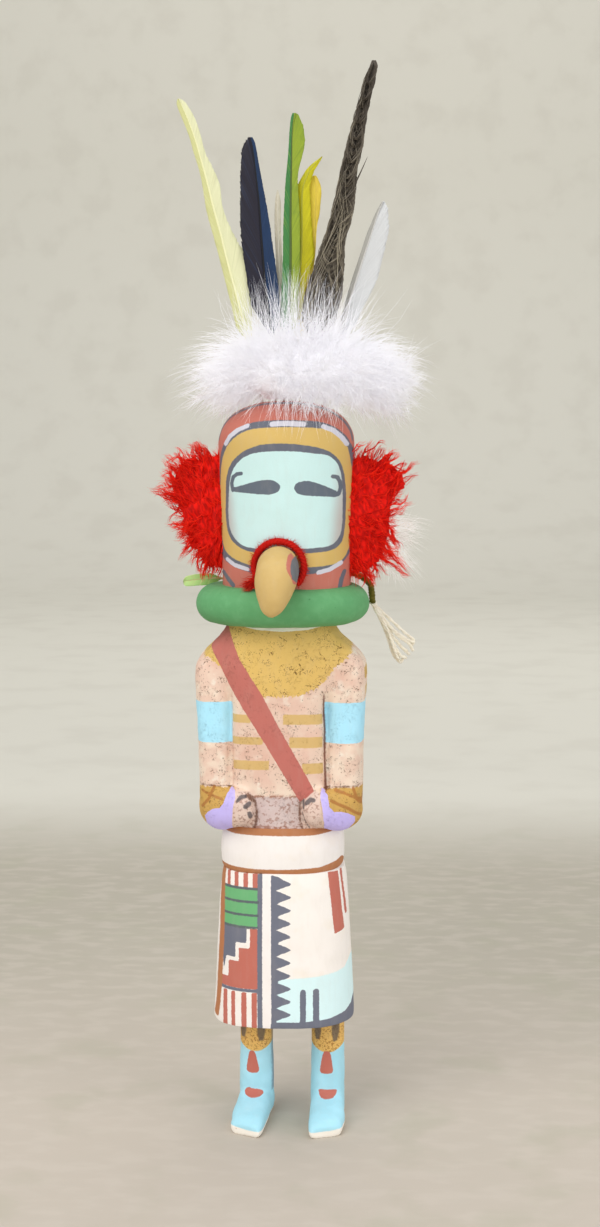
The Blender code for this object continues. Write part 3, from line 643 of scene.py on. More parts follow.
def carved_block():
    """Chest, belly, arms and hands carved from one block."""
    shapes = []
    rows = between([(-0.04, 1.00, 0.88, 3.0), (0.14, 0.98, 0.90, 4.5), (0.40, 0.96, 0.95, 5.0),
                    (0.57, 0.98, 0.98, 4.5), (0.66, 1.30, 0.98, 3.4), (0.745, 1.60, 0.96, 3.0),
                    (0.80, 1.42, 0.93, 2.8), (0.90, 1.06, 0.86, 2.5), (0.99, 0.98, 0.82, 2.3)], 5)
    shapes.append(stack("chest", [(TORSO_CENTRE_X, 0, WAIST_Z + share * TORSO_HEIGHT, TORSO_HALF_WIDTH * wide,
                                   TORSO_HALF_DEPTH * deep, power, None)
                                  for share, wide, deep, power in rows], 120))
    arm_rows = between([(-0.020, -0.45, 0.42, 0.40), (0, -0.20, 0.70, 0.66), (0.045, -0.06, 0.91, 0.86),
                        (0.120, 0, 0.97, 0.96), (0.350, 0.03, 0.98, 1.02), (0.610, 0.10, 1.04, 1.06),
                        (0.700, 0.12, 1.04, 1.04), (0.745, 0.05, 0.98, 1.00), (0.790, -0.22, 0.82, 0.90),
                        (0.840, -0.62, 0.60, 0.76), (0.885, -1.00, 0.40, 0.60)], 5)
    hand_rows = between([(0.10, -0.09, 0.080, 0.80, 0.94), (0, 0.30, 0.080, 1.00, 1.00),
                         (0.30, 0.66, 0.080, 1.02, 0.94), (0.62, 0.90, 0.090, 0.92, 0.79),
                         (0.90, 1.00, 0.098, 0.90, 0.76), (1.12, 1.01, 0.098, 0.76, 0.68),
                         (1.28, 0.98, 0.096, 0.42, 0.42)], 5)
    for side in (-1, 1):
        shapes.append(stack(f"arm_{side}", [
            (TORSO_CENTRE_X + side * (ARM_OFFSET + shift * ARM_HALF_WIDTH), 0, WAIST_Z + share * TORSO_HEIGHT,
             ARM_HALF_WIDTH * wide, ARM_HALF_DEPTH * deep, 3.6, None)
            for share, shift, wide, deep in arm_rows], 90))
        path = [Vector((TORSO_CENTRE_X + side * (ARM_OFFSET - inward * (ARM_OFFSET - HAND_OFFSET)),
                        -forward * HAND_FRONT, WAIST_Z + up * TORSO_HEIGHT))
                for inward, forward, up, _, _ in hand_rows]
        rings = []
        for way, centre, (_, _, _, tall, thick) in zip(ways_along(path), path, hand_rows):
            across, _ = side_ways(way, UP)
            flat = outline(FOREARM_HALF_THICKNESS * thick, FOREARM_HALF_HEIGHT * tall, 2.4, 60)
            rings.append(np.array(centre) + flat[:, :1] * across + flat[:, 1:] * np.array(UP))
        shapes.append(skin(f"forearm_{side}", rings))
    obj = fuse("upper_body", shapes, 0.6 * MM, 3)
    points = points_of(obj)
    off = points[:, 0] - TORSO_CENTRE_X
    points[:, 0] -= np.clip(np.abs(off) - 14 * MM, 0, 1) * np.where(off < 0, -0.12, 0.095)
    move_points(obj, points)
    return obj


def write_body(obj):
    """Keep the body's painted areas on it and cut the grooves beside the arms."""
    points = points_of(obj)
    places = front_places(points)
    x, z = places.T
    y = points[:, 1] / MM
    front = y < 0
    yoke = [(21.7, 156), (21.7, 154), (19.6, 151.2), (16.6, 149), (13.5, 145.3), (10.4, 142.3), (5.8, 140.4),
            (-0.4, 140.1), (-6, 140), (-12.9, 142), (-17.7, 147.5), (-21.3, 150.6), (-24.9, 152.6),
            (-25.2, 156), (-20, 172), (20, 172)]
    sash = [(-26.6, 162), (-22.1, 154.5), (-18.6, 148.4), (-15.5, 141.9), (-4.8, 124.5), (5.7, 106.6),
            (10.1, 110.5), (5.8, 118.5), (-0.4, 129.6), (-6, 140.6), (-12.9, 151.4), (-16.8, 160.6),
            (-19, 166)]
    bars = any_of(box(places, -15.7, -9.8, 132, 134), box(places, -15.4, -6.1, 125.1, 126.9),
                  box(places, -15.1, -4.2, 117.1, 119.4), box(places, 0.8, 12.6, 131.6, 134.2),
                  box(places, 2.7, 12.6, 124.2, 127.0), box(places, 6.7, 12.6, 115.9, 118.7)) + 0.3
    bands = np.minimum(np.minimum(z - 125.1, 138 - z), np.maximum(-15.6 - x, x - 13.6))
    forearm = np.minimum(111.0 - z, np.maximum(-14.4 - x, x - 12.2))
    cuffs = any_of(
        blob(places, [(-16.5, 111.2), (-13.8, 110.6), (-15.3, 103.5), (-15.2, 92), (-20, 92),
                      (-25.6, 99.9), (-22.1, 104.3), (-18.5, 105)], 1),
        blob(places, [(11.8, 111.2), (14.2, 110.8), (15.4, 104.4), (19.8, 103.8), (24.0, 100.6),
                      (19.8, 96.3), (16.4, 93), (13.4, 92), (13.4, 103.3)], 1))
    hands = only(front, any_of(
        blob(places, [(-14, 111.0), (-9.3, 109.6), (-7.9, 106), (-7.9, 100.3), (-9.4, 96), (-16.2, 95),
                      (-15.6, 103.5), (-14.2, 109)]),
        blob(places, [(11.6, 111.0), (6.3, 109.6), (5.3, 106), (5.3, 100.3), (6.4, 96), (13.5, 95),
                      (13.3, 103.3), (12.1, 109)])))
    fingers = only(y < -12, any_of(
        line(places, [(-13.4, 107.8), (-12.5, 109.0), (-11.2, 109.0)], 1.1),
        line(places, [(-11.0, 106.0), (-9.9, 106.8)], 1.5), line(places, [(-9.9, 103.8), (-9.5, 102.6)], 1.3),
        line(places, [(8.0, 107.2), (9.2, 108.4), (10.2, 108.2)], 1.3),
        line(places, [(6.9, 107.6), (7.0, 105.6)], 0.9),
        line(places, [(6.7, 103.6), (7.4, 100.4), (8.8, 98.2)], 0.5)))
    straps = only(x * x > 144, any_of(
        line(places, [(-25.2, 109.6), (-22.4, 108.2), (-18.6, 107.8)], 0.8),
        line(places, [(-21.4, 110.9), (-23.0, 107.2), (-25.4, 104.2)], 0.9),
        line(places, [(16.8, 110.4), (20.0, 109.2), (25.6, 106.4)], 0.9),
        line(places, [(15.6, 107.8), (20.6, 104.8), (24.6, 101.4)], 0.9),
        line(places, [(22.2, 111.0), (23.4, 107.2), (26.0, 104.0)], 0.9)))
    incised = only(y < -8, line(places, [(13.3, 140.5), (13.6, 132), (13.7, 118), (13.9, 110.8)], 0.55))
    # Painted shade: a faint darker line down the shallow groove between the doll's right arm and the chest
    left_groove = only(y < -8, line(places, [(-15.7, 141.0), (-15.6, 125), (-15.4, 110.8)], 0.35))
    belly = np.minimum(np.minimum(108.2 - z, z - 94), np.minimum(x + 9.0, 6.6 - x))
    belly_dots = any_of(only(np.abs(x + 1) < 8.2, 0.45 - np.abs(z - 108.2)),
                        only(np.abs(x + 1) < 8.2, 0.5 - np.abs(z - 98.4)))
    # Dark lines round the inner sides of the fists and along the tops of the forearms: painted outlines, with
    # painted shadow beside the raised fists
    rims = only(y < -6, any_of(
        line(places, [(-10.6, 109.3), (-8.4, 107.0), (-7.7, 103), (-8.1, 99.5), (-9.8, 96.4)], 0.9),
        line(places, [(6.6, 108.6), (5.7, 106), (5.5, 102), (6.2, 98.6), (7.6, 96.4)], 0.7),
        line(places, [(-26, 111.6), (-20, 111.2), (-15.4, 111.0)], 0.5),
        line(places, [(13.4, 111.0), (18, 111.2), (24.5, 111.6)], 0.5)))
    marks = only(y > -9, any_of(box(places, 25.6, 29, 145.0, 148.6), box(places, 25.9, 29, 139.2, 142.6)))
    cream = z - np.interp(x, (-16, -8, 0, 8, 16), (162.3, 160.7, 160.2, 160.7, 162.3))
    write(obj, yoke=area(places, yoke), sash=area(places, sash), bars=only(front, bars), bands=bands,
          forearm=forearm, cuffs=cuffs, hands=hands, fingers=fingers, straps=straps, incised=incised,
          left_groove=left_groove, belly=only(front, belly), belly_dots=only(front, belly_dots), marks=marks,
          cream=cream, rims=rims,
          chest=only(front, area(places, [(-12.5, 150), (-12.5, 112), (12.5, 112), (12.5, 150)])))
    normals = normals_of(obj)
    cut_in = np.clip((incised + 0.8) / 0.8, 0, 1) * 0.45 + np.clip((left_groove + 0.8) / 0.8, 0, 1) * 0.2
    move_points(obj, points - normals * (cut_in * MM)[:, None])


def upper_body():
    """Chest, belly, arms and hands with their paint."""
    obj = carved_block()
    write_body(obj)
    roughen(obj, 0.22 * MM, 6 * MM, 3.0)
    finish = Finish("painted_body", (0.88, 0.71, 0.57), 0.72)
    finish.area("chest", (0.77, 0.53, 0.42), 2.5, 0.6)
    finish.patches(5.5 * MM, 2, 0.44, 0.60, BODY_PINK, 0.42)
    finish.patches(4.0 * MM, 3, 0.56, 0.70, (0.92, 0.82, 0.70), 0.8)
    finish.patches(13 * MM, 2, 0.55, 0.70, (0.74, 0.42, 0.32), 0.45)
    pits = flecks(finish)
    finish.area("belly", (0.64, 0.52, 0.52), 0.5, 0.8)
    finish.patches(1.4 * MM, 2, 0.42, 0.6, (0.33, 0.12, 0.06), 0.8, finish.inside("belly_dots", 0.3))
    finish.area("bars", (0.68, 0.45, 0.14), 0.22, 0.86)
    finish.area("yoke", (0.76, 0.505, 0.15), 0.25, 1.0, 3.0)
    finish.area("forearm", (0.66, 0.40, 0.11), 0.25, 1.0, 1.8)
    ochre = finish.math("MAXIMUM", finish.inside("yoke"), finish.inside("forearm"))
    worn = finish.math("MULTIPLY", ochre, finish.step(finish.noise(3.0 * MM, 3), 0.47, 0.56))
    finish.patches(0.75 * MM, 5, 0.55, 0.62, (0.20, 0.09, 0.025), 0.85, worn, distortion=1.8)
    finish.area("hands", (0.76, 0.58, 0.50), 0.3, 0.85)
    bare = finish.math("MAXIMUM", finish.inside("hands"), finish.inside("belly"))
    finish.patches(0.9 * MM, 4, 0.53, 0.61, (0.36, 0.17, 0.12), 0.6, bare)
    # Painted outlines and painted shadow beside the fists
    finish.area("rims", (0.16, 0.06, 0.03), 0.3, 0.85, 1.0)
    finish.area("straps", (0.46, 0.19, 0.05), 0.2, 0.9)
    finish.area("cuffs", LAVENDER)
    finish.area("fingers", (0.09, 0.08, 0.09), 0.2, 0.85)
    finish.area("bands", SKY)
    finish.area("marks", (0.60, 0.38, 0.08), 0.2, 0.9)
    finish.area("cream", (1.0, 0.96, 0.84))
    finish.area("sash", (0.55, 0.170, 0.138))
    # Painted shade along the groove beside the doll's right arm
    finish.area("left_groove", (0.55, 0.28, 0.2), 0.3, 0.45)
    finish.area("incised", (0.16, 0.04, 0.02), 0.2, 0.9)
    brushed(finish, 0.06)
    finish.bump(pits, -0.08 * MM)
    return finish.onto(obj)


def kilt():
    """Kilt, carved in one with the figure."""
    rows = between([(0, 0.985, 0.975), (0.03, 1, 1), (0.30, 0.972, 0.985), (0.62, 0.935, 0.955),
                    (0.90, 0.895, 0.905), (1.0, 0.86, 0.87)], 24)
    obj = stack("kilt", [(0, 0, HEM_Z + share * KILT_HEIGHT, KILT_HALF_WIDTH * wide, KILT_HALF_DEPTH * deep,
                          KILT_POWER, KILT_RIGHT_POWER)
                         for share, wide, deep in [(0, 0.4, 0.4), (0, 0.8, 0.8), *rows]], 250)
    points = points_of(obj)
    places = front_places(points)
    x, z = places.T
    front = points[:, 1] < 0
    y = points[:, 1] / MM
    teeth = [(-3.1, 34.0), (-1.0, 34.0)]
    for tooth in range(11):
        tip = 39.1 + 4.17 * tooth
        teeth += [(-1.7, tip - 2.1), (0.6, tip - 1.15), (2.9, tip - 0.35), (3.0, tip + 0.2), (0.5, tip + 1.3)]
    teeth += [(-0.8, 83), (-3.3, 83.5)]
    slate = any_of(
        area(places, teeth), line(places, [(-6.75, 84), (-6.8, 60), (-6.7, 34)], 1.55),
        box(places, -18.7, -11.0, 61.7, 66.7), box(places, -18.9, -14.6, 56.8, 61.9),
        area(places, [(-19.0, 56.9), (-17.7, 56.9), (-18.6, 51.9)]),
        line(places, [(6.85, 34.5), (6.85, 46.2)], 1.9), line(places, [(10.95, 34.5), (10.95, 46.3)], 1.95),
        only((x < -7) & (x > -19.8), 0.5 - np.abs(z - 46.5)),
        only(x > -3.0, np.interp(x, (-3, 6, 15, 19.9, 21.7, 22.4), (36.6, 36.6, 37.0, 38.0, 39.5, 41.5)) - z))
    lines = any_of(*[only((x < -7) & (x > -18.7), 0.42 - np.abs(z - height))
                     for height in (79.0, 74.8, 70.6, 66.7)])
    red = any_of(
        *[box(places, left, right, 79, 84) for left, right in
          ((-17.3, -16.3), (-15, -13.7), (-12.1, -10.6), (-9.1, -7.4))],
        *[box(places, left, right, 30, 45.9) for left, right in
          ((-18.7, -17.3), (-16, -14.7), (-12.7, -11), (-9.4, -7.7))],
        box(places, -9.9, -7.4, 47, 66.5), box(places, -13.5, -7.4, 47, 60), box(places, -17, -7.4, 47, 55.6),
        box(places, -19.6, -7.4, 47, 50.2),
        area(places, [(14.3, 83.8), (17.5, 83.4), (18.6, 73.5), (19.5, 64.6), (16.6, 63.8), (15.4, 74.6)]),
        line(places, [(18.3, 83.5), (19.2, 76.2), (20, 69.2)], 0.6))
    strip = only((y < 2) & (x < 0), line(places, [(-18.9, 84), (-19.3, 61), (-20.6, 41), (-21.2, 36.6)], 1.7))
    green = box(places, -18.6, -7.4, 66.6, 79)
    aqua = np.interp(x, (-1, 3, 12.1, 16.8, 19.8, 21.3), (50.6, 50.7, 51.1, 51.6, 52.3, 55.0)) - z
    back_aqua = np.interp(x, (-20, 0, 15, 21.3), (52.0, 52.5, 53.5, 55.0)) - z
    band = only(front, box(places, -6.0, -2.6, 30, 90))
    hem_back = np.interp(x, (-20, 8, 17, 22.4), (37.2, 37.4, 38.6, 41.5)) - z
    write(obj, slate=np.where(front, slate, -9.0), lines=only(front, lines), red=only(y < 3, red),
          strip=strip, green=only(front, green),
          aqua=np.where(front, only(x > -2.5, aqua), only(x > -19, back_aqua)),
          hem=only(~front, only(x > -20, hem_back)), band=band)
    roughen(obj, 0.14 * MM, 8 * MM, 4.0)
    finish = Finish("painted_kilt", (0.96, 0.90, 0.84), 0.66)
    finish.patches(8 * MM, 3, 0.5, 0.7, (0.93, 0.84, 0.72), 0.5)
    finish.area("aqua", (0.74, 0.95, 0.96), 0.3)
    finish.area("hem", SLATE, 0.2)
    finish.area("band", (0.96, 0.89, 0.85))
    finish.area("green", (0.165, 0.47, 0.20))
    finish.area("red", (0.56, 0.17, 0.125))
    finish.area("slate", (0.17, 0.18, 0.23))
    finish.area("lines", (0.12, 0.15, 0.15))
    finish.area("strip", (0.50, 0.20, 0.085), 0.2)
    brushed(finish, 0.06)
    return finish.onto(obj)


def belt():
    """Broad white belt edged in rust."""
    rows = between([(0.0, 0.95, 0.96), (0.06, 0.985, 0.99), (0.20, 1, 1), (0.50, 1.005, 1),
                    (0.86, 0.975, 0.965), (1, 0.935, 0.925)], 9)
    obj = stack("belt", [(BELT_CENTRE_X, 0, BELT_Z + share * BELT_HEIGHT, BELT_HALF_WIDTH * wide,
                          BELT_HALF_DEPTH * deep, KILT_POWER, KILT_RIGHT_POWER)
                         for share, wide, deep in [*rows, (1, 0.8, 0.8), (1, 0.4, 0.4)]], 200)
    points = points_of(obj)
    x, z = front_places(points).T
    front = np.clip((-points[:, 1] / MM - 1) / 5, 0, 1)
    low = np.interp(x, (-20, -10, 0, 12, 17, 19.5), (85.9, 85.3, 85.2, 85.6, 86.8, 88.4)) - z
    low = low * front + (86.0 - z) * (1 - front)
    high = z - np.interp(x, (-20, -15, -5, 10, 15, 19.5), (96.5, 96.0, 95.9, 95.9, 96.4, 97.0))
    high = high * front + (z - 96.6) * (1 - front)
    write(obj, edges=any_of(low, high))
    roughen(obj, 0.14 * MM, 8 * MM, 5.0)
    finish = Finish("painted_belt", (0.93, 0.88, 0.84), 0.64)
    finish.patches(8 * MM, 3, 0.5, 0.7, (0.91, 0.82, 0.70), 0.35)
    finish.area("edges", RUST, 0.15)
    brushed(finish, 0.06)
    return finish.onto(obj)


def legs():
    """Short legs in moccasins, standing on thin pale soles."""
    shapes = []
    foot_rows = between([(0, 0.60, 0.45, 0), (0.07, 0.82, 0.74, 0), (0.20, 0.92, 0.96, 0), (0.42, 0.95, 1, 0),
                         (0.56, 0.98, 0.80, 0), (0.74, 1, 0.66, 0), (0.87, 0.95, 0.56, 0.04),
                         (0.95, 0.92, 0.46, 0.03), (1, 0.80, 0.34, 0.04)], 5)
    for side, toe_out in ((-1, RIGHT_TOE_OUT), (1, LEFT_TOE_OUT)):
        centre_x = LEGS_CENTRE_X + side * LEG_SPACING / 2
        shapes.append(stack(f"leg_{side}", [
            (centre_x, 0, z, LEG_HALF_WIDTH * (1 + 0.02 * sin(z / (6 * MM))), LEG_HALF_DEPTH, 2.5, None)
            for z in np.linspace(2 * MM, HEM_Z + 1 * MM, 40)], 60))
        turn = Matrix.Rotation(side * toe_out, 3, "Z")
        rings = []
        for share, wide, tall, inward in foot_rows:
            flat = outline(FOOT_HALF_WIDTH * wide, FOOT_HEIGHT * 0.58 * tall, 2.8, 64)
            ring = np.column_stack([flat[:, 0] - side * inward * FOOT_HALF_WIDTH,
                                    HEEL_BACK - share * FOOT_LENGTH
                                    + side * TOE_SLANT * share ** 3 * flat[:, 0],
                                    np.maximum(0, flat[:, 1] + 0.42 * FOOT_HEIGHT * tall)])
            rings.append(ring @ np.array(turn).T + (centre_x, 0, 0))
        shapes.append(skin(f"foot_{side}", rings))
    obj = fuse("legs", shapes, 0.5 * MM, 3)
    points = points_of(obj)
    points[:, 2] = np.maximum(points[:, 2] - 0.1 * MM, 0)
    move_points(obj, points)
    places = front_places(points)
    x, z = places.T
    left = x < LEGS_CENTRE_X / MM
    dx = x - np.where(left, -9.1, 14.1)
    thigh = z - (22.4 + 2.3 * (dx / 5) ** 2)
    front = points[:, 1] < 0
    pendants = any_of(*[
        area(places, [(mid - wide / 2, 36), (mid + wide / 2, 36), (mid + wide / 2 * 0.95, 29),
                      (mid + wide / 4, low + 0.2), (mid - wide / 4, low), (mid - wide / 2 * 0.9, 29)])
        for mid, wide, low in ((-13.2, 2.2, 26.6), (-7.3, 2.9, 25.8), (11.0, 2.2, 26.5), (16.7, 2.6, 26.0))])
    red = any_of(blob(places, [(-11.2, 22.4), (-10.4, 22.6), (-9.3, 22.4), (-8.4, 18.5), (-7.7, 15.6),
                               (-9.6, 14.9), (-12.2, 15.4), (-12.0, 17.4)]),
                 blob(places, [(12.8, 22.7), (13.9, 22.9), (15.1, 22.7), (15.7, 18.6), (16.2, 15.5),
                               (14, 15.1), (11.5, 15.4), (12.0, 18.6)]),
                 blob(places, [(-12.9, 9.0), (-11.6, 10.3), (-10.0, 9.8), (-7.4, 9.7), (-6.3, 8.9),
                               (-7.2, 8.1), (-9.6, 7.7), (-12.2, 8.0)], 1),
                 blob(places, [(11.2, 10.1), (14, 9.9), (17.3, 10.1), (17.2, 8.8), (15.9, 7.8),
                               (12.4, 7.8), (11.4, 8.8)], 1))
    outer = np.where(left, np.clip((-11 - x) / 4, 0, 1), np.clip((x - 15) / 4, 0, 1))
    sole = 2.05 + 0.4 * outer * np.clip(-points[:, 1] / (18 * MM), 0, 1) - z
    # Painted shade: a dark stripe down the inner side of the doll's right leg, where it is in shadow
    seam = only(left & (dx > 4.4), np.minimum(dx - 5.05, z - 8.5))
    write(obj, thigh=thigh, seam=seam, pendants=only(front, pendants),
          red=only(points[:, 1] < -1 * MM, red), sole=sole)
    roughen(obj, 0.16 * MM, 6 * MM, 6.0, keep_floor=True)
    finish = Finish("painted_legs", (0.42, 0.77, 0.89), 0.64)
    finish.patches(7 * MM, 2, 0.45, 0.7, (0.50, 0.85, 0.98), 0.6)
    finish.area("thigh", (0.85, 0.53, 0.155), 0.25)
    finish.patches(0.7 * MM, 4, 0.50, 0.62, (0.40, 0.17, 0.04), 0.8, finish.inside("thigh"), distortion=1.0)
    # Painted shade down the inner side of the doll's right leg
    finish.area("seam", (0.16, 0.19, 0.25), 0.4, 0.75)
    finish.area("pendants", (0.10, 0.09, 0.085), 0.3, 0.82)
    finish.area("red", (0.57, 0.165, 0.12))
    finish.area("sole", (0.98, 0.92, 0.82), 0.2)
    finish.patches(1.3 * MM, 3, 0.64, 0.72, (0.42, 0.27, 0.14), 0.6, finish.inside("sole"))
    brushed(finish, 0.06)
    return finish.onto(obj)


# What is fixed to the figure

def beak():
    """Down-curved beak, ochre with a red and slate nostril mark on each side."""
    rows = between([(0, 0, 0.92, 0.94), (0.22, 0.04, 1, 1), (0.48, 0.14, 1, 0.97), (0.72, 0.36, 0.96, 0.85),
                    (0.88, 0.62, 0.80, 0.67), (0.955, 0.84, 0.58, 0.47), (0.99, 0.97, 0.36, 0.28),
                    (1, 1.04, 0.10, 0.08)], 9)
    root = -(HEAD_HALF_DEPTH + GAP)
    path = [Vector((BEAK_CENTRE_X - BEAK_SIDEWAYS * drop, root - out * BEAK_REACH,
                    BEAK_ROOT_Z - drop * BEAK_DROP)) for out, drop, _, _ in rows]
    rings = []
    for way, centre, (_, _, wide, tall) in zip(ways_along(path), path, rows):
        across, lift = side_ways(way, UP)
        flat = outline(BEAK_HALF_WIDTH * wide, BEAK_HALF_HEIGHT * tall, 2.1, 96)
        rings.append(np.array(centre) + flat[:, :1] * across + flat[:, 1:] * lift)
    obj = skin("beak_carving", rings)
    places = front_places(points_of(obj))
    y = points_of(obj)[:, 1] / MM
    left_mark = [(3.0, 186.4), (5.4, 183.6), (8, 183), (8, 177), (4.9, 176.2), (4.0, 178.8), (2.3, 181.4)]
    right_mark = [(-5.0, 186), (-4.2, 183.8), (-5.0, 181.6), (-9, 180), (-9, 186)]
    left_slate = [(4.2, 184.6), (8, 186), (8, 176), (4.6, 177.4), (3.6, 181.2)]
    right_slate = [(-5.9, 185), (-5.9, 181.5), (-9, 180), (-9, 186)]
    write(obj, mark=any_of(blob(places, left_mark, 1), only(y > -25, blob(places, right_mark, 1))),
          slate=any_of(blob(places, left_slate, 1), only(y > -23.5, area(places, right_slate))))
    roughen(obj, 0.12 * MM, 6 * MM, 7.0)
    finish = Finish("painted_beak", (0.60, 0.41, 0.15), 0.58)
    finish.patches(5 * MM, 3, 0.45, 0.7, (0.66, 0.47, 0.19), 0.5)
    finish.area("mark", (0.55, 0.17, 0.12))
    finish.area("slate", (0.15, 0.16, 0.17))
    brushed(finish, 0.07)
    return finish.onto(obj)


def face_front(x, z):
    """How far forward the face is at a place on it."""
    half = HEAD_HALF_WIDTH * (1 - HEAD_TAPER * (CROWN_SPRING_Z - z) / (CROWN_SPRING_Z - COLLAR_Z))
    share = min(1, abs(x - HEAD_CENTRE_X) / half)
    return -half * HEAD_HALF_DEPTH / HEAD_HALF_WIDTH * (1 - share ** HEAD_POWER) ** (1 / HEAD_POWER)


def fibre_finish(obj, name, colours, glow):
    """Give a piece fibres that differ from strand to strand and pale towards their ends.

    A little glow stands for the light that passes from strand to strand.
    """
    dark, middle, light = colours
    finish = Finish(name, dark, 0.85)
    finish.coat(finish.step(finish.field("tone"), 0.0, 0.7), middle)
    finish.coat(finish.step(finish.field("tone"), 0.6, 1.0), light, 0.7)
    finish.coat(finish.step(finish.field("along"), 0.4, 1.0), light, 0.45)
    finish.patches(3 * MM, 2, 0.5, 0.7, dark, 0.25)
    finish.shader.inputs["Emission Color"].default_value = (*middle, 1)
    finish.shader.inputs["Emission Strength"].default_value = glow
    return finish.onto(obj)


def write_core(obj, tone):
    """Keep a strand's values on the solid core of a bundle."""
    count = len(obj.data.vertices)
    write(obj, tone=np.broadcast_to(tone, count), along=np.zeros(count))


def yarn_ring():
    """Three-ply yarn laid over the beak's root, with a little fuzz."""
    rng = np.random.default_rng(11)
    radius = 0.95 * MM
    turn = np.linspace(radians(-42), radians(238), 230)
    centre = []
    for angle in turn:
        x = BEAK_CENTRE_X + (BEAK_HALF_WIDTH + GAP + radius) * cos(angle)
        z = BEAK_ROOT_Z - GAP + (BEAK_HALF_HEIGHT + GAP + radius) * sin(angle)
        centre.append((x, face_front(x, z) - radius - GAP, z))
    centre = np.array(centre)
    across, lift = side_ways(ways_along(centre))
    plies = []
    for ply in range(3):
        phase = tau * ply / 3 + np.linspace(0, 11 * tau, len(turn))
        path = centre + 0.48 * MM * (np.cos(phase)[:, None] * across + np.sin(phase)[:, None] * lift)
        plies.append(rod(f"ply_{ply}", path, np.full(len(turn), 0.55 * MM), 9))
    obj = join("yarn_ring_ply", *plies)
    write_core(obj, 0.4)
    picks = rng.integers(0, len(turn), 2000)
    out = rng.normal(size=(2000, 3))
    out /= np.linalg.norm(out, axis=1, keepdims=True)
    out[:, 1] = -np.abs(out[:, 1]) * 0.6
    length = rng.uniform(0.4, 1.5, 2000)[:, None] * MM
    step = np.linspace(0, 1, 3)[None, :, None]
    paths = centre[picks][:, None] + out[:, None] * (0.7 * MM + length[:, None] * step) \
        + rng.normal(size=(2000, 1, 3)) * 0.5 * MM * step ** 2
    fuzz = strands("yarn_ring_fuzz", paths, np.full(2000, 0.075 * MM), rng)
    share = np.linspace(0, 1, 5)[None, :, None]
    first = np.array((-6.6, -20.6, 177.0)) + rng.normal(size=(260, 3)) * (0.7, 0.3, 0.8)
    last = np.array((-10.6, -19.8, 175.0)) + rng.normal(size=(260, 3)) * (1.1, 0.5, 1.0)
    paths = first[:, None] + (last - first)[:, None] * share + rng.normal(size=(260, 5, 3)) * 0.18
    tail = strands("yarn_ring_tail", paths * MM, np.full(260, 0.10 * MM), rng)
    obj = join("yarn_over_beak", obj, fuzz, tail)
    return fibre_finish(obj, "yarn_ring", RING_REDS, 0.04)


# Yarn at the ears: outline of each tuft and ends of stray yarn, across and up in millimetres
RIGHT_TUFT = [(-19.5, 218.5), (-24.6, 219.1), (-33.1, 217.2), (-37.9, 213.4), (-38.6, 207.5), (-40.5, 203.9),
             (-38.6, 200.2), (-34.9, 197.1), (-36.3, 193.3), (-34.2, 189.5), (-32.0, 182.8), (-29.4, 181.3),
             (-26.6, 176.5), (-24.4, 174.3), (-19.8, 174.6)]
LEFT_TUFT = [(20.5, 215.8), (27.9, 218.9), (37.9, 215.6), (41.4, 211.7), (41.6, 207.3), (38.5, 201.5),
              (35.2, 196.0), (36.2, 190.1), (36.4, 185), (34.4, 180.6), (30.4, 175.5), (28.1, 173),
             (22.4, 173.2), (17.7, 178)]
RIGHT_STRAYS = [(-42.0, 203.9), (-41.2, 203.0), (-40.4, 204.6), (-39.4, 202.6), (-37.6, 214.6),
                (-39.2, 208.2), (-36.6, 192.4), (-34.6, 188.4), (-33.0, 181.6)]
LEFT_STRAYS = [(40.0, 176.4), (39.6, 177.4), (38.4, 179.4), (37.0, 181.8), (41.9, 213.0), (42.2, 208.4),
                (40.4, 199.4), (38.6, 197.8), (36.6, 185.0)]


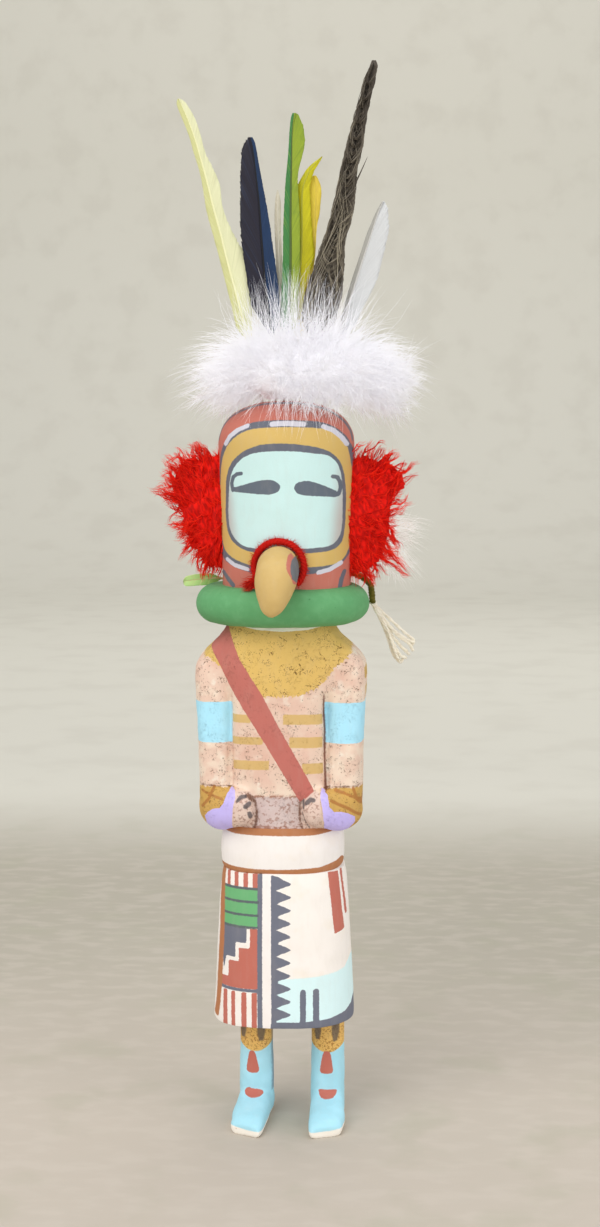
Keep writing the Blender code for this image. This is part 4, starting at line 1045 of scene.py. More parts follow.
def tuft(name, side, edges, seed, strays):
    """A brush of crinkled red yarn ends at one ear; edges is its outline in millimetres."""
    rng = np.random.default_rng(seed)
    edges = np.asarray(edges, float)
    root = np.array((HEAD_CENTRE_X / MM + side * 17.0, -1.0, 196.0))
    low, high = edges.min(0), edges.max(0)
    spots = rng.uniform(low, high, (9000, 2))
    depth = area(spots, edges)
    spots = spots[(depth > -0.5) & (rng.random(9000) < np.where(depth < 4.5, 1.0, 0.65))][:305]
    step = np.linspace(0, 1, 9)[:, None]
    paths = []
    for number, (x, z) in enumerate(list(spots) + 2 * list(strays)):
        away = np.array((x - root[0], z - root[2]))
        far = np.linalg.norm(away)
        angle = np.arctan2(away[1], away[0]) + rng.normal() * (0.30 if number < len(spots) else 0.05)
        reach = min(far * 0.9, rng.uniform(6.5, 13.0)) if number < len(spots) else far * 0.7
        half = 8.0 * (1 - 0.5 * min(1, far / 24))
        deep = half * rng.triangular(-1.0, -0.75, 0.9)
        end = np.array((x, deep - 1.0, z))
        start = end - np.array((cos(angle) * reach, deep * rng.uniform(0.1, 0.5), sin(angle) * reach))
        start[0] = side * max(side * start[0], side * root[0] - 1.0)
        waves = reach / rng.uniform(4.2, 7.0)
        phase = rng.uniform(0, tau, 3)
        middle = bowed(start, end, rng.normal(size=3) * (0.5, 0.6, 0.9), step)
        middle = middle + np.sin(phase + tau * waves * step) * (0.35, 0.5, 0.6) * (0.4 + 0.8 * step)
        twist = tau * rng.uniform(0, 1) + tau * waves * 0.8 * step
        spread = rng.uniform(0.35, 0.75)
        for hair in range(7):
            turn = twist + tau * hair / 7
            radius = spread * rng.uniform(0.35, 1.15) * (0.7 + 0.5 * step - 0.5 * step ** 3)
            swing = np.column_stack([np.cos(turn) * 0.7, np.sin(turn), np.cos(turn)]) * radius
            paths.append(middle + swing + rng.normal(size=3) * 0.45 * step ** 2
                         + rng.normal(size=(9, 3)) * 0.06)
    paths = np.array(paths) * MM
    obj = strands(name, paths, 0.13 * MM * rng.uniform(0.7, 1.3, len(paths)), rng)
    inner = (edges - root[[0, 2]]) * 0.80 + root[[0, 2]]
    rings = []
    for x in np.linspace(inner[:, 0].min() + 0.3, inner[:, 0].max() - 0.3, 36):
        heights = np.linspace(low[1], high[1], 240)
        inside = heights[area(np.column_stack([np.full(240, x), heights]), inner) > 0]
        if len(inside) < 6:
            continue
        deep = max(0.8, 5.0 - 4.0 * (abs(x - root[0]) / 18) ** 2)
        flat = outline(deep, (inside.max() - inside.min()) / 2, 2.0, 72)
        rings.append(np.column_stack([np.full(72, x), flat[:, 0] - 1.0, flat[:, 1] + inside.mean()]) * MM)
    body = skin(f"{name}_core", rings)
    roughen(body, 1.7 * MM, 3.0 * MM, seed)
    roughen(body, 0.6 * MM, 0.9 * MM, seed + 7)
    write_core(body, np.random.default_rng(seed + 1).random(len(body.data.vertices)) * 0.7)
    obj = join(name, obj, body)
    return fibre_finish(obj, f"{name}_yarn", YARN_REDS, 0.13)


def plumes(name, roots, tips, barbs, reach, thickness, seed, droop):
    """Downy plumes: fine barbs springing from both sides of many thin shafts."""
    rng = np.random.default_rng(seed)
    count = len(roots)
    share = np.linspace(0.06, 1, barbs)[None, :, None]
    lean = tips - roots
    length = np.linalg.norm(lean, axis=1, keepdims=True)
    way = lean / length
    bend = rng.normal(size=(count, 3)) * 0.10
    shaft = roots[:, None] + lean[:, None] * share + (bend * length)[:, None] * share * (1 - share) \
        + np.array((0, 0, -droop))[None, None] * length[:, None] * share ** 2
    side = np.cross(way, rng.normal(size=(count, 3)))
    side /= np.linalg.norm(side, axis=1, keepdims=True)
    other = np.cross(way, side)
    angle = rng.uniform(0, tau, (count, barbs, 1))
    spray = side[:, None] * np.cos(angle) + other[:, None] * np.sin(angle)
    size = reach * length[:, None] * (0.55 + 0.45 * np.sin(pi * np.clip(share * 0.9 + 0.05, 0, 1))) \
        * rng.uniform(0.6, 1.15, (count, barbs, 1))
    steps = np.linspace(0, 1, 3)
    forward = rng.uniform(0.55, 1.1, (count, barbs, 1))
    curl = rng.normal(size=(count, barbs, 3)) * 0.22
    paths = np.stack([shaft + size * (spray * step * 0.8 + way[:, None] * forward * step + curl * step ** 2)
                      for step in steps], axis=2).reshape(count * barbs, 3, 3)
    return strands(name, paths * MM, np.full(count * barbs, thickness * MM), rng)


def fan_out(rng, centre, ways, extent, first, last, each, spread, droop):
    """Straight hairs in loose clumps, from one share of an ellipsoid's reach to another."""
    step = np.linspace(0, 1, 5)[:, None]
    paths = []
    for way in ways:
        for _ in range(each):
            lean = way + rng.normal(size=3) * spread
            lean /= np.linalg.norm(lean)
            start = centre + lean * extent * rng.uniform(first, first + 0.2) + rng.normal(size=3) * 0.8
            end = centre + (lean + rng.normal(size=3) * 0.10) * extent * rng.uniform(last - 0.25, last)
            path = bowed(start, end, rng.normal(size=3) * 0.9 + (0, 0, 0.6), step)
            aside = np.clip(np.abs(path[:, 0] - centre[0]) / extent[0] - 0.45, 0, 1)
            path[:, 2] -= droop * aside ** 1.2 * step[:, 0]
            paths.append(path)
    return paths


def down():
    """White down packed round the crown and the foot of every feather."""
    rng = np.random.default_rng(5)
    centre = np.array((6.0, 2.0, 239.5))
    golden = pi * (3 - 5 ** 0.5)
    count = 250
    lift = -0.45 + 1.33 * (np.arange(count) + 0.5) / count
    flat = np.sqrt(np.maximum(0, 1 - np.minimum(1, np.abs(lift)) ** 2))
    turn = np.arange(count) * golden
    ways = np.column_stack([np.cos(turn) * flat, np.sin(turn) * flat, lift])
    ways = ways + rng.normal(size=(count, 3)) * 0.09
    ways /= np.linalg.norm(ways, axis=1, keepdims=True)
    roots = centre + ways * (15, 13, 5.5)
    extent = np.array((34, 30, 17.0))
    tips = centre + ways * extent * rng.uniform(0.72, 1.04, (count, 1)) + (0, 0, 1.0)
    side = np.clip(np.abs(ways[:, 0]) * 1.7 - 0.6, 0, 1)
    tips[:, 2] -= 9.0 * side * rng.uniform(0.3, 1.0, count)
    tips[:, 2] = np.maximum(tips[:, 2], np.where(side > 0.2, 222, 231.5))
    gap = (tips[:, 0] > -15) & (tips[:, 0] < -3) & (tips[:, 1] < -3) & (tips[:, 2] < 239)
    roots, tips = roots[~gap], tips[~gap]
    brow = np.column_stack([np.linspace(-2, 24, 30), np.full(30, -10.0), np.full(30, 239.5)])
    roots = np.vstack([roots, brow])
    drop = np.clip((brow[:, 0] - 2) / 6, 0, 1)
    tips = np.vstack([tips, brow + rng.normal(size=(30, 3)) * (1.5, 1.0, 1.0)
                      + np.column_stack([0 * drop, 2.5 * drop - 9.0, -3.0 - 6.0 * drop])])
    lobe = np.column_stack([rng.uniform(20, 27, 44), rng.uniform(-6, 6, 44), rng.uniform(233, 240, 44)])
    roots = np.vstack([roots, lobe])
    tips = np.vstack([tips, lobe + np.column_stack([rng.uniform(9, 16, 44), rng.normal(size=44) * 3 - 2,
                                                    rng.uniform(-9, 7, 44)])])
    obj = plumes("down_plumes", roots, tips, 50, 0.50, 0.058, 6, 0.06)
    rows = [(centre[0] * MM, centre[1] * MM, (centre[2] + 9.0 * sin(a)) * MM, 19 * MM * cos(a),
             16.5 * MM * cos(a), 2.0, None) for a in np.linspace(radians(-55), radians(86), 30)]
    core = stack("down_core", rows, 90)
    roughen(core, 1.3 * MM, 5 * MM, 8.0)
    write_core(core, 0.5)
    obj = join("crown_down_fluff", obj, core)
    return fibre_finish(obj, "white_down", DOWN_WHITES, 0.19)


def stray_down():
    """Long loose hairs round the down, over the forehead and up among the feathers."""
    rng = np.random.default_rng(9)
    centre = np.array((6.0, 2.0, 241.0))
    ways = rng.normal(size=(210, 3)) * (1.0, 0.9, 0.62)
    ways = ways[ways[:, 2] > -0.9 * np.abs(ways[:, 0]) - 0.1]
    ways /= np.linalg.norm(ways, axis=1, keepdims=True)
    paths = fan_out(rng, centre, ways, np.array((37, 32, 20.5)), 0.5, 1.14, 12, 0.13, 8.0)
    step = np.linspace(0, 1, 5)[:, None]
    for _ in range(120):
        x = rng.triangular(-10, 5, 22)
        fall = rng.triangular(2, 5, 15)
        start = np.array((x * 0.9, rng.uniform(-9, -5), rng.uniform(232.0, 235)))
        y = face_front(x * MM, min(CROWN_SPRING_Z, (232 - fall) * MM)) / MM
        end = np.array((x + rng.normal() * 2.8 + (x - 5) * 0.12, min(y - rng.uniform(0.5, 2.5), -11),
                        232 - fall))
        paths.append(bowed(start, end, (rng.normal(), -3.2, 1.8), step))
    for _ in range(980):
        x = rng.uniform(-13, 25)
        start = np.array((x * 0.78, rng.uniform(-12, 4), 244.0))
        end = start + (x * 0.28 + rng.normal() * 5.0, rng.normal() * 2.5 - 2.5,
                       rng.uniform(9, 31) - abs(x - 4) * 0.4)
        paths.append(bowed(start, end, rng.normal(size=3) * 1.5, step))
    paths = np.array(paths) * MM
    ends = paths[:, -1] / MM
    paths = paths[(ends[:, 0] < 50) & (np.abs(ends[:, 1]) < 38)]
    obj = strands("down_wisps", paths, 0.048 * MM * rng.uniform(0.7, 1.7, len(paths)), rng)
    return fibre_finish(obj, "down_wisp", DOWN_WHITES, 0.20)


# Feathers: rows of height above the crown, left edge, shaft and right edge in millimetres

FEATHERS = {
    "pale_yellow": (0.0, [
        (17.3, -13.6, -10.9, -9.4), (26, -15.6, -12.9, -9.9), (35.8, -18.0, -15.6, -10.6),
        (45.2, -20.4, -18.1, -12.3), (51, -22.0, -19.5, -15.5), (58.9, -24.1, -21.7, -18.8),
        (65.9, -25.2, -23.4, -19.8), (70.8, -26.2, -24.7, -21.6), (75.8, -27.8, -26.1, -24.2),
        (80.8, -29.2, -27.6, -25.5), (85.7, -31.1, -29.4, -27.1), (89.8, -32.8, -31.2, -29.3),
        (91.6, -33.0, -32.0, -30.8), (92.3, -32.6, -32.3, -31.9)]),
    "navy": (-1.2, [
        (18.8, -8.4, -3.6, -0.6), (31, -10.4, -5.2, -1.3), (38, -11.5, -5.9, -2.0),
        (50.9, -13.3, -6.9, -3.8), (60.8, -13.5, -7.6, -5.4), (70.8, -13.3, -8.7, -7.3),
        (76.5, -12.9, -9.4, -8.3), (78.8, -12.1, -9.8, -8.8), (80.4, -10.8, -10.2, -9.6)]),
    "beige": (1.8, [
        (17.3, -1.7, -1, -0.1), (43.5, -2.6, -1.6, -0.7), (54.2, -3, -1.9, -1),
        (61.2, -2.8, -2.1, -1.1), (64.8, -2.2, -2.1, -1.9)]),
    "green": (0.0, [
        (17.3, -1.2, 1.4, 3.8), (31.1, -0.9, 1.7, 4.4), (43.3, -0.4, 2.1, 5),
        (55.5, -0.1, 2.1, 5), (65.5, 0.4, 2.2, 4.4), (70, 0.8, 2.3, 4.5),
        (75.1, 1.3, 2.4, 5.8), (79.6, 1.6, 2.5, 6.5), (83.8, 1.9, 2.7, 5.9),
        (86.2, 2.2, 3, 5), (87.7, 2.7, 3.3, 3.8)]),
    "lime": (1.6, [
        (17.3, 2.1, 2.7, 4.3), (35.8, 2.4, 4.3, 6.8), (44, 2.7, 5.2, 9.3),
        (52.3, 2.7, 5.5, 8.6), (60.8, 3.1, 5.5, 8.2), (65.6, 4, 5.9, 8),
        (69.9, 6.2, 7.6, 9.1), (72, 7.9, 9.1, 10.3), (73.8, 10.2, 10.8, 11.4),
        (74.8, 11.6, 11.7, 11.9)]),
    "gold": (3.1, [
        (17.4, 3.6, 4.5, 5.5), (34.3, 6.1, 7, 8), (44.2, 8, 8.7, 9.5),
        (53.3, 8.3, 9.4, 10.1), (57.6, 8, 9.5, 10.9), (60.9, 7.6, 9.7, 11.2),
        (64.9, 7.6, 9.8, 11.5), (67.9, 7.9, 9.5, 10.6), (69.3, 8.9, 9.3, 9.8)]),
    "brown": (-1.6, [
        (17.2, 5.7, 8.8, 13.8), (30.7, 6.2, 11.9, 17.8), (40.4, 9.1, 13.7, 18.8),
        (48.9, 12.2, 15.9, 19), (53.7, 13.7, 17.1, 20.6), (60.3, 15.6, 18.3, 21.9),
        (70.2, 17.7, 20.1, 22.6), (77.4, 19.3, 21.9, 24.4), (84.9, 21.5, 23.3, 25.1),
        (92.9, 23.7, 25.4, 26.9), (100.5, 26.1, 27.3, 28.7), (102.9, 27, 27.6, 28.2)]),
    "white": (1.4, [
        (17.3, 15.9, 16.8, 20.5), (27.4, 18.3, 19.4, 23.9), (35.7, 20.5, 21.9, 28.2),
        (43.9, 23.2, 24.6, 30.5), (51.5, 25.7, 27.1, 32.2), (57.6, 28.3, 29.1, 32.2),
        (59.7, 29.4, 30, 31.8), (61.1, 30.3, 30.6, 30.9)]),
}
QUILL_FEET = {"pale_yellow": (-7.0, 0.0), "navy": (-3.6, -1.2), "beige": (-1.0, 1.8), "green": (1.1, 0.0),
              "lime": (3.0, 1.6), "gold": (5.0, 3.1), "brown": (7.5, -1.6), "white": (11.2, 1.4)}
VANE_THICKNESS = 0.22
# Left vane, right vane, shaft, angle of the barbs in degrees and contrast of their streaks
VANE_COLOURS = {
    "pale_yellow": ((0.622, 0.622, 0.288), (0.722, 0.722, 0.448), (0.84, 0.83, 0.50), 26, 0.4),
    "navy": ((0.013, 0.011, 0.022), (0.006, 0.028, 0.085), (0.006, 0.006, 0.009), 24, 0.7),
    "beige": ((0.60, 0.55, 0.42), (0.66, 0.61, 0.48), (0.7, 0.66, 0.54), 40, 0.6),
    "green": ((0.045, 0.20, 0.050), (0.27, 0.36, 0.026), (0.08, 0.13, 0.03), 24, 0.7),
    "lime": ((0.50, 0.46, 0.004), (0.58, 0.53, 0.006), (0.45, 0.44, 0.04), 26, 0.7),
    "gold": ((0.80, 0.62, 0.06), (0.82, 0.62, 0.07), (0.75, 0.58, 0.08), 28, 0.6),
    "brown": ((0.080, 0.064, 0.048), (0.105, 0.086, 0.066), (0.03, 0.025, 0.018), 22, 1.0),
    # The white feather's darker left vane is painted shade
    "white": ((0.40, 0.39, 0.35), (0.64, 0.65, 0.65), (0.60, 0.59, 0.56), 28, 0.25),
}


def spread_barbs(shaft, length, edge_x, count, slant):
    """Where each barb leaves the shaft and where it meets the outline, further up the feather."""
    places = np.linspace(0.0, length[-1] * 0.999, count)
    base = on_curve(places, length, shaft)
    width = np.abs(np.interp(places, length, edge_x) - base[:, 0])
    ahead = np.clip(places + width / np.tan(radians(slant)), 0, length[-1])
    tip = on_curve(ahead, length, shaft)
    tip[:, 0] = np.interp(ahead, length, edge_x)
    return places, base, tip, width


def vane(name, side, barbs, slices, rng):
    """One side of a feather: a thin closed sheet ribbed by its barbs."""
    places, base, tip, width = barbs
    share = np.linspace(0, 1, slices)[None, :, None]
    clumps = np.arange(0, places[-1] + 8, 2.1)
    clump = np.interp(places, clumps, rng.normal(size=len(clumps)))
    ragged = (rng.normal(size=len(places)) * 0.03 + clump * 0.02)[:, None, None] * share ** 3
    paths = base[:, None] + (tip - base)[:, None] * (share + ragged * 0.5)
    paths = paths + np.array(BACK) * (width + clump)[:, None, None] * 0.10 * share ** 2
    rib = np.where(np.arange(len(places)) % 3 == 0, 1.5, 0.8)[:, None, None] * (1.1 - 0.7 * share)
    push = np.array(BACK) * VANE_THICKNESS / 2 * rib
    rings = np.concatenate([paths - push, (paths + push)[:, ::-1]], axis=1)
    obj = skin(f"{name}_vane_{side}", rings * MM)
    flat = np.concatenate([share[0, :, 0], share[0, ::-1, 0]])
    write(obj, out=np.append(np.tile(flat, len(places)), [0, 0]),
          barb=np.append(np.repeat(places, len(flat)), [0, places[-1]]),
          along=np.append(np.repeat(places / places[-1], len(flat)), [0, 1]),
          side=np.full(len(obj.data.vertices), 0.0 if side < 0 else 1.0))
    return obj


def feather(name, seed):
    """One crown feather: a tapering shaft with a vane of fine barbs down each side."""
    rng = np.random.default_rng(seed)
    y, rows = FEATHERS[name]
    left_colour, right_colour, shaft_colour, slant, contrast = VANE_COLOURS[name]
    rows = between(rows, 14)
    foot = QUILL_FEET[name]
    z = rows[:, 0] + CROWN_Z / MM
    shaft = np.column_stack([rows[:, 2], np.full(len(z), y), z])
    start = np.array((foot[0] + HEAD_CENTRE_X / MM, foot[1], CROWN_Z / MM - 3.5))
    reach = np.linspace(0, 1, 12)[:-1, None]
    full = np.vstack([start + (shaft[0] - start) * reach, shaft])
    quill = rod(f"{name}_shaft", full * MM, np.linspace(0.50, 0.10, len(full)) * MM, 8)
    still = np.zeros(len(quill.data.vertices))
    bare = (CROWN_Z / MM + 16 - points_of(quill)[:, 2] / MM) / 6
    write(quill, out=still, barb=still, along=still, side=still + 0.5, bare=bare)
    length = np.concatenate([[0], np.cumsum(np.linalg.norm(np.diff(shaft, axis=0), axis=1))])
    parts = [quill]
    for side, column in ((-1, 1), (1, 3)):
        barbs = spread_barbs(shaft, length, rows[:, column], int(length[-1] * 2.8), slant)
        parts.append(vane(name, side, barbs, 8, rng))
    if name == "brown":
        parts.append(brown_locks(shaft, length, rows, rng))
    obj = join(f"crown_feather_{name}", *parts)
    finish = Finish(f"{name}_feather", shaft_colour, 0.5, 0.3)
    streak = finish.streaks(1.1, 0.35)
    colour = finish.mix(finish.field("side"), left_colour, right_colour)
    colour = finish.mix(finish.math("MULTIPLY", finish.step(streak, 0.52, 0.72), 0.45 * contrast), colour,
                        tuple(min(1, c * 1.55 + 0.01) for c in right_colour))
    colour = finish.mix(finish.math("MULTIPLY", finish.step(streak, 0.46, 0.28), 0.5 * contrast), colour,
                        tuple(c * 0.55 for c in left_colour))
    faint = finish.math("MULTIPLY", finish.step(finish.noise(5 * MM, 2), 0.5, 0.72), 0.3 * contrast)
    colour = finish.mix(faint, colour, tuple(c * 0.7 for c in left_colour))
    finish.coat(finish.step(finish.field("out"), 0.0, 0.06), colour)
    finish.coat(finish.step(finish.field("fawn"), 0.0, 1.0), (0.50, 0.44, 0.32))
    finish.coat(finish.step(finish.field("bare"), 0.0, 1.0), (0.86, 0.85, 0.82))
    finish.bump(streak, 0.10 * MM)
    return finish.onto(obj)


def brown_locks(shaft, length, rows, rng):
    """Barbs of the brown feather drawn into ropes that wind across it, some of them faded."""
    steps = np.linspace(0, 1, 10)
    paths, fawn = [], []
    for column in (1, 3):
        for place in np.arange(1.0, length[-1] * 0.93, 2.4):
            reach = min(length[-1] - 0.5, place + rng.uniform(11, 17)) - place
            places = place + steps * reach
            middle = on_curve(places, length, shaft)
            edge = np.interp(places, length, rows[:, column])
            swell = np.sin(pi * np.clip(steps * 1.02, 0, 1)) ** 0.8
            rope = middle.copy()
            rope[:, 0] += (edge - middle[:, 0]) * swell * 0.92
            rope[:, 1] += -0.9 - 0.7 * np.cos(steps * pi * 1.3 + place)
            faded = rng.random() * (1.0 if place < 45 else 0.55)
            for _ in range(9):
                turn = rng.uniform(0, tau) + steps * 5.0
                wind = np.column_stack([np.cos(turn), np.sin(turn), np.zeros(10)]) * rng.uniform(0.15, 0.8)
                paths.append(rope + wind * (1.15 - steps[:, None]))
                fawn.append(faded * rng.uniform(0.2, 1.0) ** 2 + (0.10 if place < 62 else 0.0))
        for _ in range(18):
            first = rng.uniform(2, 42)
            places = np.linspace(first, first + rng.uniform(9, 20), 10)
            pale = on_curve(places, length, shaft)
            edge = np.interp(places, length, rows[:, column])
            pale[:, 0] += (edge - pale[:, 0]) * (rng.uniform(0.5, 1.0) - 1.1 * steps * rng.uniform(0.2, 0.9))
            pale[:, 1] -= 2.2
            paths.append(pale + np.sin(steps * 3 + first)[:, None] * 0.3)
            fawn.append(rng.uniform(0.5, 1.1))
    loose = between([(14.0, 48.0), (17.6, 57.5), (20.2, 63.0), (22.9, 67.8), (25.9, 74.2)], 3)[-10:]
    loose = np.array([(x, -2.6, CROWN_Z / MM + z) for x, z in loose])
    for _ in range(14):
        stray = np.array((rng.normal() * 0.35, rng.normal() * 0.3, rng.normal() * 0.6))
        paths.append(loose + stray * (1.1 - steps[:, None]))
        fawn.append(rng.uniform(0, 0.3))
    obj = strands("brown_locks", np.array(paths) * MM, np.where(np.array(fawn) > 0.5, 0.08, 0.12) * MM, rng)
    count = len(obj.data.vertices)
    each = count // len(paths)
    tone = np.empty(count, np.float32)
    obj.data.attributes["tone"].data.foreach_get("value", tone)
    write(obj, out=np.full(count, 1.0), barb=tone * 40, side=np.full(count, 0.5), fawn=np.repeat(fawn, each))
    return obj


def side_feather():
    """Small green feather lying over the ruff at the doll's right."""
    rng = np.random.default_rng(31)
    shaft = between([(-19.8, 8.2, 174.7), (-23, 7.6, 174.8), (-27, 7.0, 174.6), (-30.5, 6.6, 174.2),
                     (-32.8, 6.4, 173.8)], 8)
    quill = rod("side_shaft", shaft * MM, np.linspace(0.42, 0.10, len(shaft)) * MM, 8, UP)
    still = np.zeros(len(quill.data.vertices))
    write(quill, out=still, barb=still, along=still, side=still)
    parts = [quill]
    share = np.linspace(0, 1, 70)
    base = on_curve(share, np.linspace(0, 1, len(shaft)), shaft)
    for side in (-1, 1):
        width = (1.9 - 0.3 * side) * np.clip(share / 0.2, 0, 1) ** 0.5 * (1 - share ** 5) ** 0.5
        tip = base + np.column_stack([-1.6 * (1 - share ** 3), np.full(70, -0.6), side * width])
        parts.append(vane("side", side, (share * 13, base, tip, width), 7, rng))
    obj = join("green_side_feather", *parts)
    finish = Finish("side_green", (0.62, 0.62, 0.30), 0.6)
    colour = finish.mix(finish.step(finish.field("along"), 0.1, 0.8), (0.30, 0.60, 0.16), (0.62, 0.92, 0.36))
    colour = finish.mix(finish.step(finish.streaks(1.4, 0.4), 0.5, 0.7), colour, (0.66, 0.80, 0.36))
    finish.coat(finish.step(finish.field("out"), 0.0, 0.12), colour)
    finish.bump(finish.streaks(1.4, 0.4), 0.1 * MM)
    return finish.onto(obj)


def side_plume():
    """White marabou plume behind the left tuft."""
    rng = np.random.default_rng(21)
    root = np.array((HEAD_CENTRE_X / MM + 0.74 * 21.2, 14.0, 191.4))
    aims = [(42.5, 193.5), (44.0, 191.0), (42.5, 188.0), (41.0, 183.5), (41.5, 179.5), (40.0, 176.0),
            (38.0, 186.0), (37.0, 196.5), (40.5, 197.5), (36.0, 191.0), (38.5, 181.0), (35.5, 186.5)]
    tips = np.array([(x - 3.0, 11.8 + rng.normal() * 2.5, z) for x, z in aims])
    roots = np.tile(root, (len(tips), 1)) + rng.normal(size=(len(tips), 3)) * 0.6
    fluff = plumes("side_fluff", roots, tips, 130, 0.26, 0.055, 22, 0.03)
    step = np.linspace(0, 1, 7)[:, None]
    ends = np.array([(47.5, 191.0), (46.0, 189.0), (44.5, 176.0), (43.5, 171.5), (42.0, 174.0),
                     (45.5, 183.0)])
    paths = []
    for x, z in np.repeat(ends, 14, axis=0):
        start = root + (rng.uniform(6, 13), -2.0, rng.normal() * 2.5)
        end = np.array((x + rng.normal() * 1.5, 11.8 + rng.normal() * 2, z + rng.normal() * 1.6))
        paths.append(bowed(start, end, (0, 0, 1.6), step))
    wisps = strands("side_wisps", np.array(paths) * MM, np.full(len(paths), 0.045 * MM), rng)
    obj = join("white_side_plume", fluff, wisps)
    return fibre_finish(obj, "white_plume", PLUME_WHITES, 0.34)


def binding():
    """Bound olive stem standing out from behind the ruff."""
    over = COLLAR_THICKNESS / 2 + BINDING_RADIUS
    outer = np.array((COLLAR_CENTRE_X + COLLAR_HALF_WIDTH + BINDING_RADIUS, BINDING_BACK,
                      COLLAR_Z - BINDING_RADIUS))
    path = between([outer - (inward * BINDING_LENGTH, 0, -rise * over) for inward, rise in
                    ((1, 1.45), (0.5, 1.25), (0.1, 0.85), (0, 0))], 22)
    turn = np.arange(len(path))
    radii = (1.0 + 0.13 * np.sin(turn * 1.9) + 0.05 * np.sin(turn * 0.7)) * MM
    obj = rod("olive_binding", path, radii, 20)
    roughen(obj, 0.15 * MM, 1.2 * MM, 12.0)
    finish = Finish("olive_thread", (0.12, 0.105, 0.010), 0.7)
    finish.patches(0.9 * MM, 3, 0.4, 0.7, (0.20, 0.17, 0.03), 0.8)
    finish.patches(2.5 * MM, 2, 0.5, 0.7, (0.05, 0.045, 0.01), 0.5)
    finish.bump(finish.noise(0.3 * MM, 3), 0.08 * MM)
    return finish.onto(obj)


def tassel():
    """Loose cotton strings hanging from the binding."""
    rng = np.random.default_rng(41)
    top = np.array((27.8, 8.2, 166.9))
    ends = [((33.9, 155.5), (35.2, 149.7), (37.1, 147.8), (38.0, 149.8)),
            ((38.2, 157.5), (41.1, 155.0), (40.4, 152.9)),
            ((33.0, 157.0), (36.6, 150.5), (38.8, 149.2)), ((34.5, 158.0), (39.5, 154.0), (41.0, 151.6)),
            ((32.0, 160.0), (34.6, 153.0), (36.2, 148.9)), ((33.2, 158.0), (37.8, 152.2), (39.9, 150.2)),
            ((32.6, 158.6), (35.2, 152.0), (36.8, 147.6)), ((34.0, 159.0), (38.8, 155.4), (41.3, 154.2)),
            ((32.0, 158.0), (34.2, 151.4), (35.4, 149.0)), ((33.6, 157.6), (37.0, 153.0), (39.0, 151.4))]
    cords = []
    for number, bends in enumerate(ends):
        deep = rng.uniform(-1.3, 1.3)
        line_points = [top + (rng.normal() * 0.35, rng.normal() * 0.3, 0.6)]
        line_points += [np.array((x, 8.2 + deep * share, z))
                        for (x, z), share in zip(bends, (0.5, 0.9, 1.1, 1.2))]
        path = between(np.array(line_points), 22)
        across, lift = side_ways(ways_along(path))
        for ply in range(2):
            phase = pi * ply + np.arange(len(path)) * 0.57
            strand = path + 0.17 * (np.cos(phase)[:, None] * across + np.sin(phase)[:, None] * lift)
            cords.append(rod(f"string_{number}_{ply}", strand * MM, np.full(len(path), 0.36 * MM), 7))
    obj = join("cotton_tassel", *cords)
    finish = Finish("cotton", (0.88, 0.82, 0.68), 0.9)
    finish.patches(1.5 * MM, 3, 0.45, 0.7, (0.62, 0.52, 0.36), 0.4)
    finish.patches(4 * MM, 2, 0.5, 0.7, (0.86, 0.82, 0.72), 0.6)
    finish.bump(finish.noise(0.25 * MM, 3), 0.05 * MM)
    return finish.onto(obj)


def settle(obj, node):
    """Stand a piece in for its solid, on the doll's one body."""
    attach(obj, "root")
    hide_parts(node)


# The stage

def stage():
    """Pale floor that curves up behind the doll."""
    profile = [(y, 0.0) for y in (-1.6, -0.8, 0.0, 0.3, 0.8, 1.6)]
    profile += [(1.6 + 0.6 * sin(a), 0.6 - 0.6 * cos(a)) for a in np.linspace(0, pi / 2, 24)[1:]]
    profile += [(2.2, 1.4), (2.2, 3.0)]
    across = np.linspace(-2.4, 2.4, 33)
    points = [(x, y, z) for y, z in profile for x in across]
    index = np.arange(len(points)).reshape(len(profile), len(across))
    quads = np.stack([index[:-1, :-1], index[:-1, 1:], index[1:, 1:], index[1:, :-1]], axis=-1)
    floor = mesh_object("floor", points, quads)
    finish = Finish("pale_floor", (0.53, 0.47, 0.40), 0.85)
    split = finish.node("ShaderNodeSeparateXYZ")
    finish.put(split.inputs[0], finish.place)
    # Painted shade and painted light: the floor goes darker just behind the doll, then lighter further back,
    # where it stands for the lit backdrop
    finish.coat(finish.step(split.outputs["Y"], -0.02, 0.22), (0.435, 0.40, 0.33))
    finish.coat(finish.step(split.outputs["Y"], 0.28, 0.50), (0.695, 0.67, 0.59))
    finish.patches(0.05, 3, 0.45, 0.7, (0.50, 0.46, 0.39), 0.16)
    low = finish.step(split.outputs["Y"], 0.50, 0.28)
    finish.patches(0.014, 4, 0.44, 0.66, (0.60, 0.54, 0.47), 0.30, low, stretch=(1, 2, 1))
    finish.patches(0.030, 4, 0.50, 0.70, (0.40, 0.39, 0.29), 0.30, low)
    finish.bump(finish.noise(0.8 * MM, 3), 0.03 * MM)
    finish.onto(floor)


# Name, place, aim, side, watts and colour of each light
LIGHTS = (
    ("key", (-0.55, -0.75, 0.95), (0, 0, 0.17), 0.9, 7.6, (1.0, 0.985, 0.965)),
    ("fill", (0.85, -0.60, 0.45), (0, 0, 0.15), 0.9, 3.9, (0.96, 0.98, 1.0)),
    ("low", (-0.1, -0.9, 0.03), (0, 0, 0.16), 0.7, 1.3, (1.0, 0.98, 0.95)),
    ("top", (0.0, 0.15, 1.2), (0, 0, 0.15), 1.0, 4.0, (1.0, 0.99, 0.97)),
    ("backdrop", (0.0, 0.9, 1.5), (0, 2.2, 1.2), 1.4, 9.0, (1.0, 0.99, 0.97)),
    ("back", (0.3, 1.1, 0.9), (0, 0, 0.2), 0.9, 1.3, (0.97, 0.98, 1.0)),
)
SENSOR = 36
PHOTO_HEIGHT = 1227
PHOTO_FOCAL = 1746
AZIMUTH = radians(3)
PITCH = radians(6.6)
DISTANCE = 0.550
EYE_HEIGHT = 0.228
ASIDE = 0.005


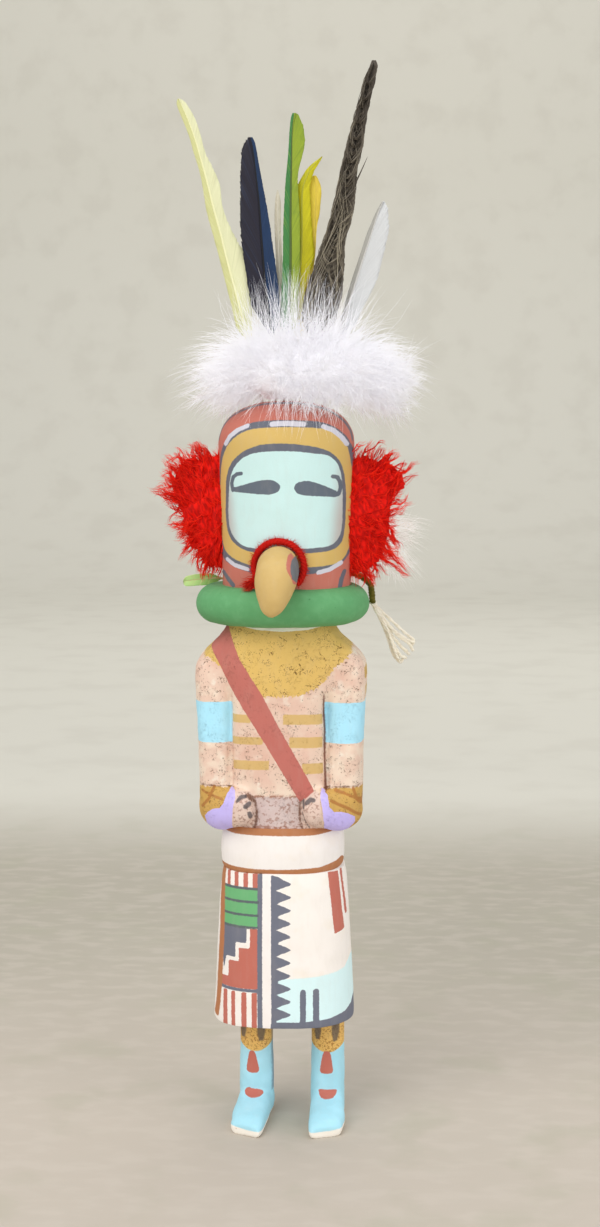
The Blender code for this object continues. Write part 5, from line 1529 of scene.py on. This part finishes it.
def light(name, place, aim, size, power, colour):
    """Square soft light pointed at a place."""
    data = bpy.data.lights.new(name, "AREA")
    data.size, data.energy, data.color = size, power, colour
    obj = bpy.data.objects.new(name, data)
    obj.location = place
    obj.rotation_euler = (Vector(aim) - Vector(place)).to_track_quat("-Z", "Y").to_euler()
    bpy.context.scene.collection.objects.link(obj)


def camera():
    """Where the photograph was taken from."""
    data = bpy.data.cameras.new("camera")
    data.sensor_width, data.lens = SENSOR, SENSOR * PHOTO_FOCAL / PHOTO_HEIGHT
    data.clip_start, data.clip_end = 0.01, 10
    obj = bpy.data.objects.new("camera", data)
    back = Vector((sin(AZIMUTH), -cos(AZIMUTH), 0))
    right = Vector((cos(AZIMUTH), sin(AZIMUTH), 0))
    obj.location = back * DISTANCE + Vector((0, 0, EYE_HEIGHT)) + right * ASIDE
    obj.rotation_euler = (pi / 2 - PITCH, 0, AZIMUTH)
    bpy.context.scene.collection.objects.link(obj)
    bpy.context.scene.camera = obj


def sky(strength, colour):
    """Even light from all round."""
    world = bpy.data.worlds.new("room_light")
    world.use_nodes = True
    background = world.node_tree.nodes["Background"]
    background.inputs["Color"].default_value = (*colour, 1)
    background.inputs["Strength"].default_value = strength
    bpy.context.scene.world = world


def main():
    """Build everything and leave it riding on the frame."""
    camera()
    for piece in (head(), collar(), upper_body(), belt(), kilt(), legs()):
        settle(piece, "carved_figure")
    settle(beak(), "beak")
    settle(yarn_ring(), "beak_yarn_ring")
    settle(tuft("right_yarn", -1, RIGHT_TUFT, 51, RIGHT_STRAYS), "yarn_tuft_right")
    settle(tuft("left_yarn", 1, LEFT_TUFT, 52, LEFT_STRAYS), "yarn_tuft_left")
    settle(down(), "crown_down")
    settle(stray_down(), "crown_down")
    for seed, name in enumerate(FEATHERS):
        settle(feather(name, 100 + seed), f"feather_{name}")
    settle(side_feather(), "side_feather_green")
    settle(side_plume(), "side_plume_white")
    settle(binding(), "pendant_binding")
    settle(tassel(), "string_tassel")
    stage()
    for settings in LIGHTS:
        light(*settings)
    sky(0.60, (0.95, 0.97, 1.0))
    bpy.context.scene.view_settings.view_transform = "Standard"


main()
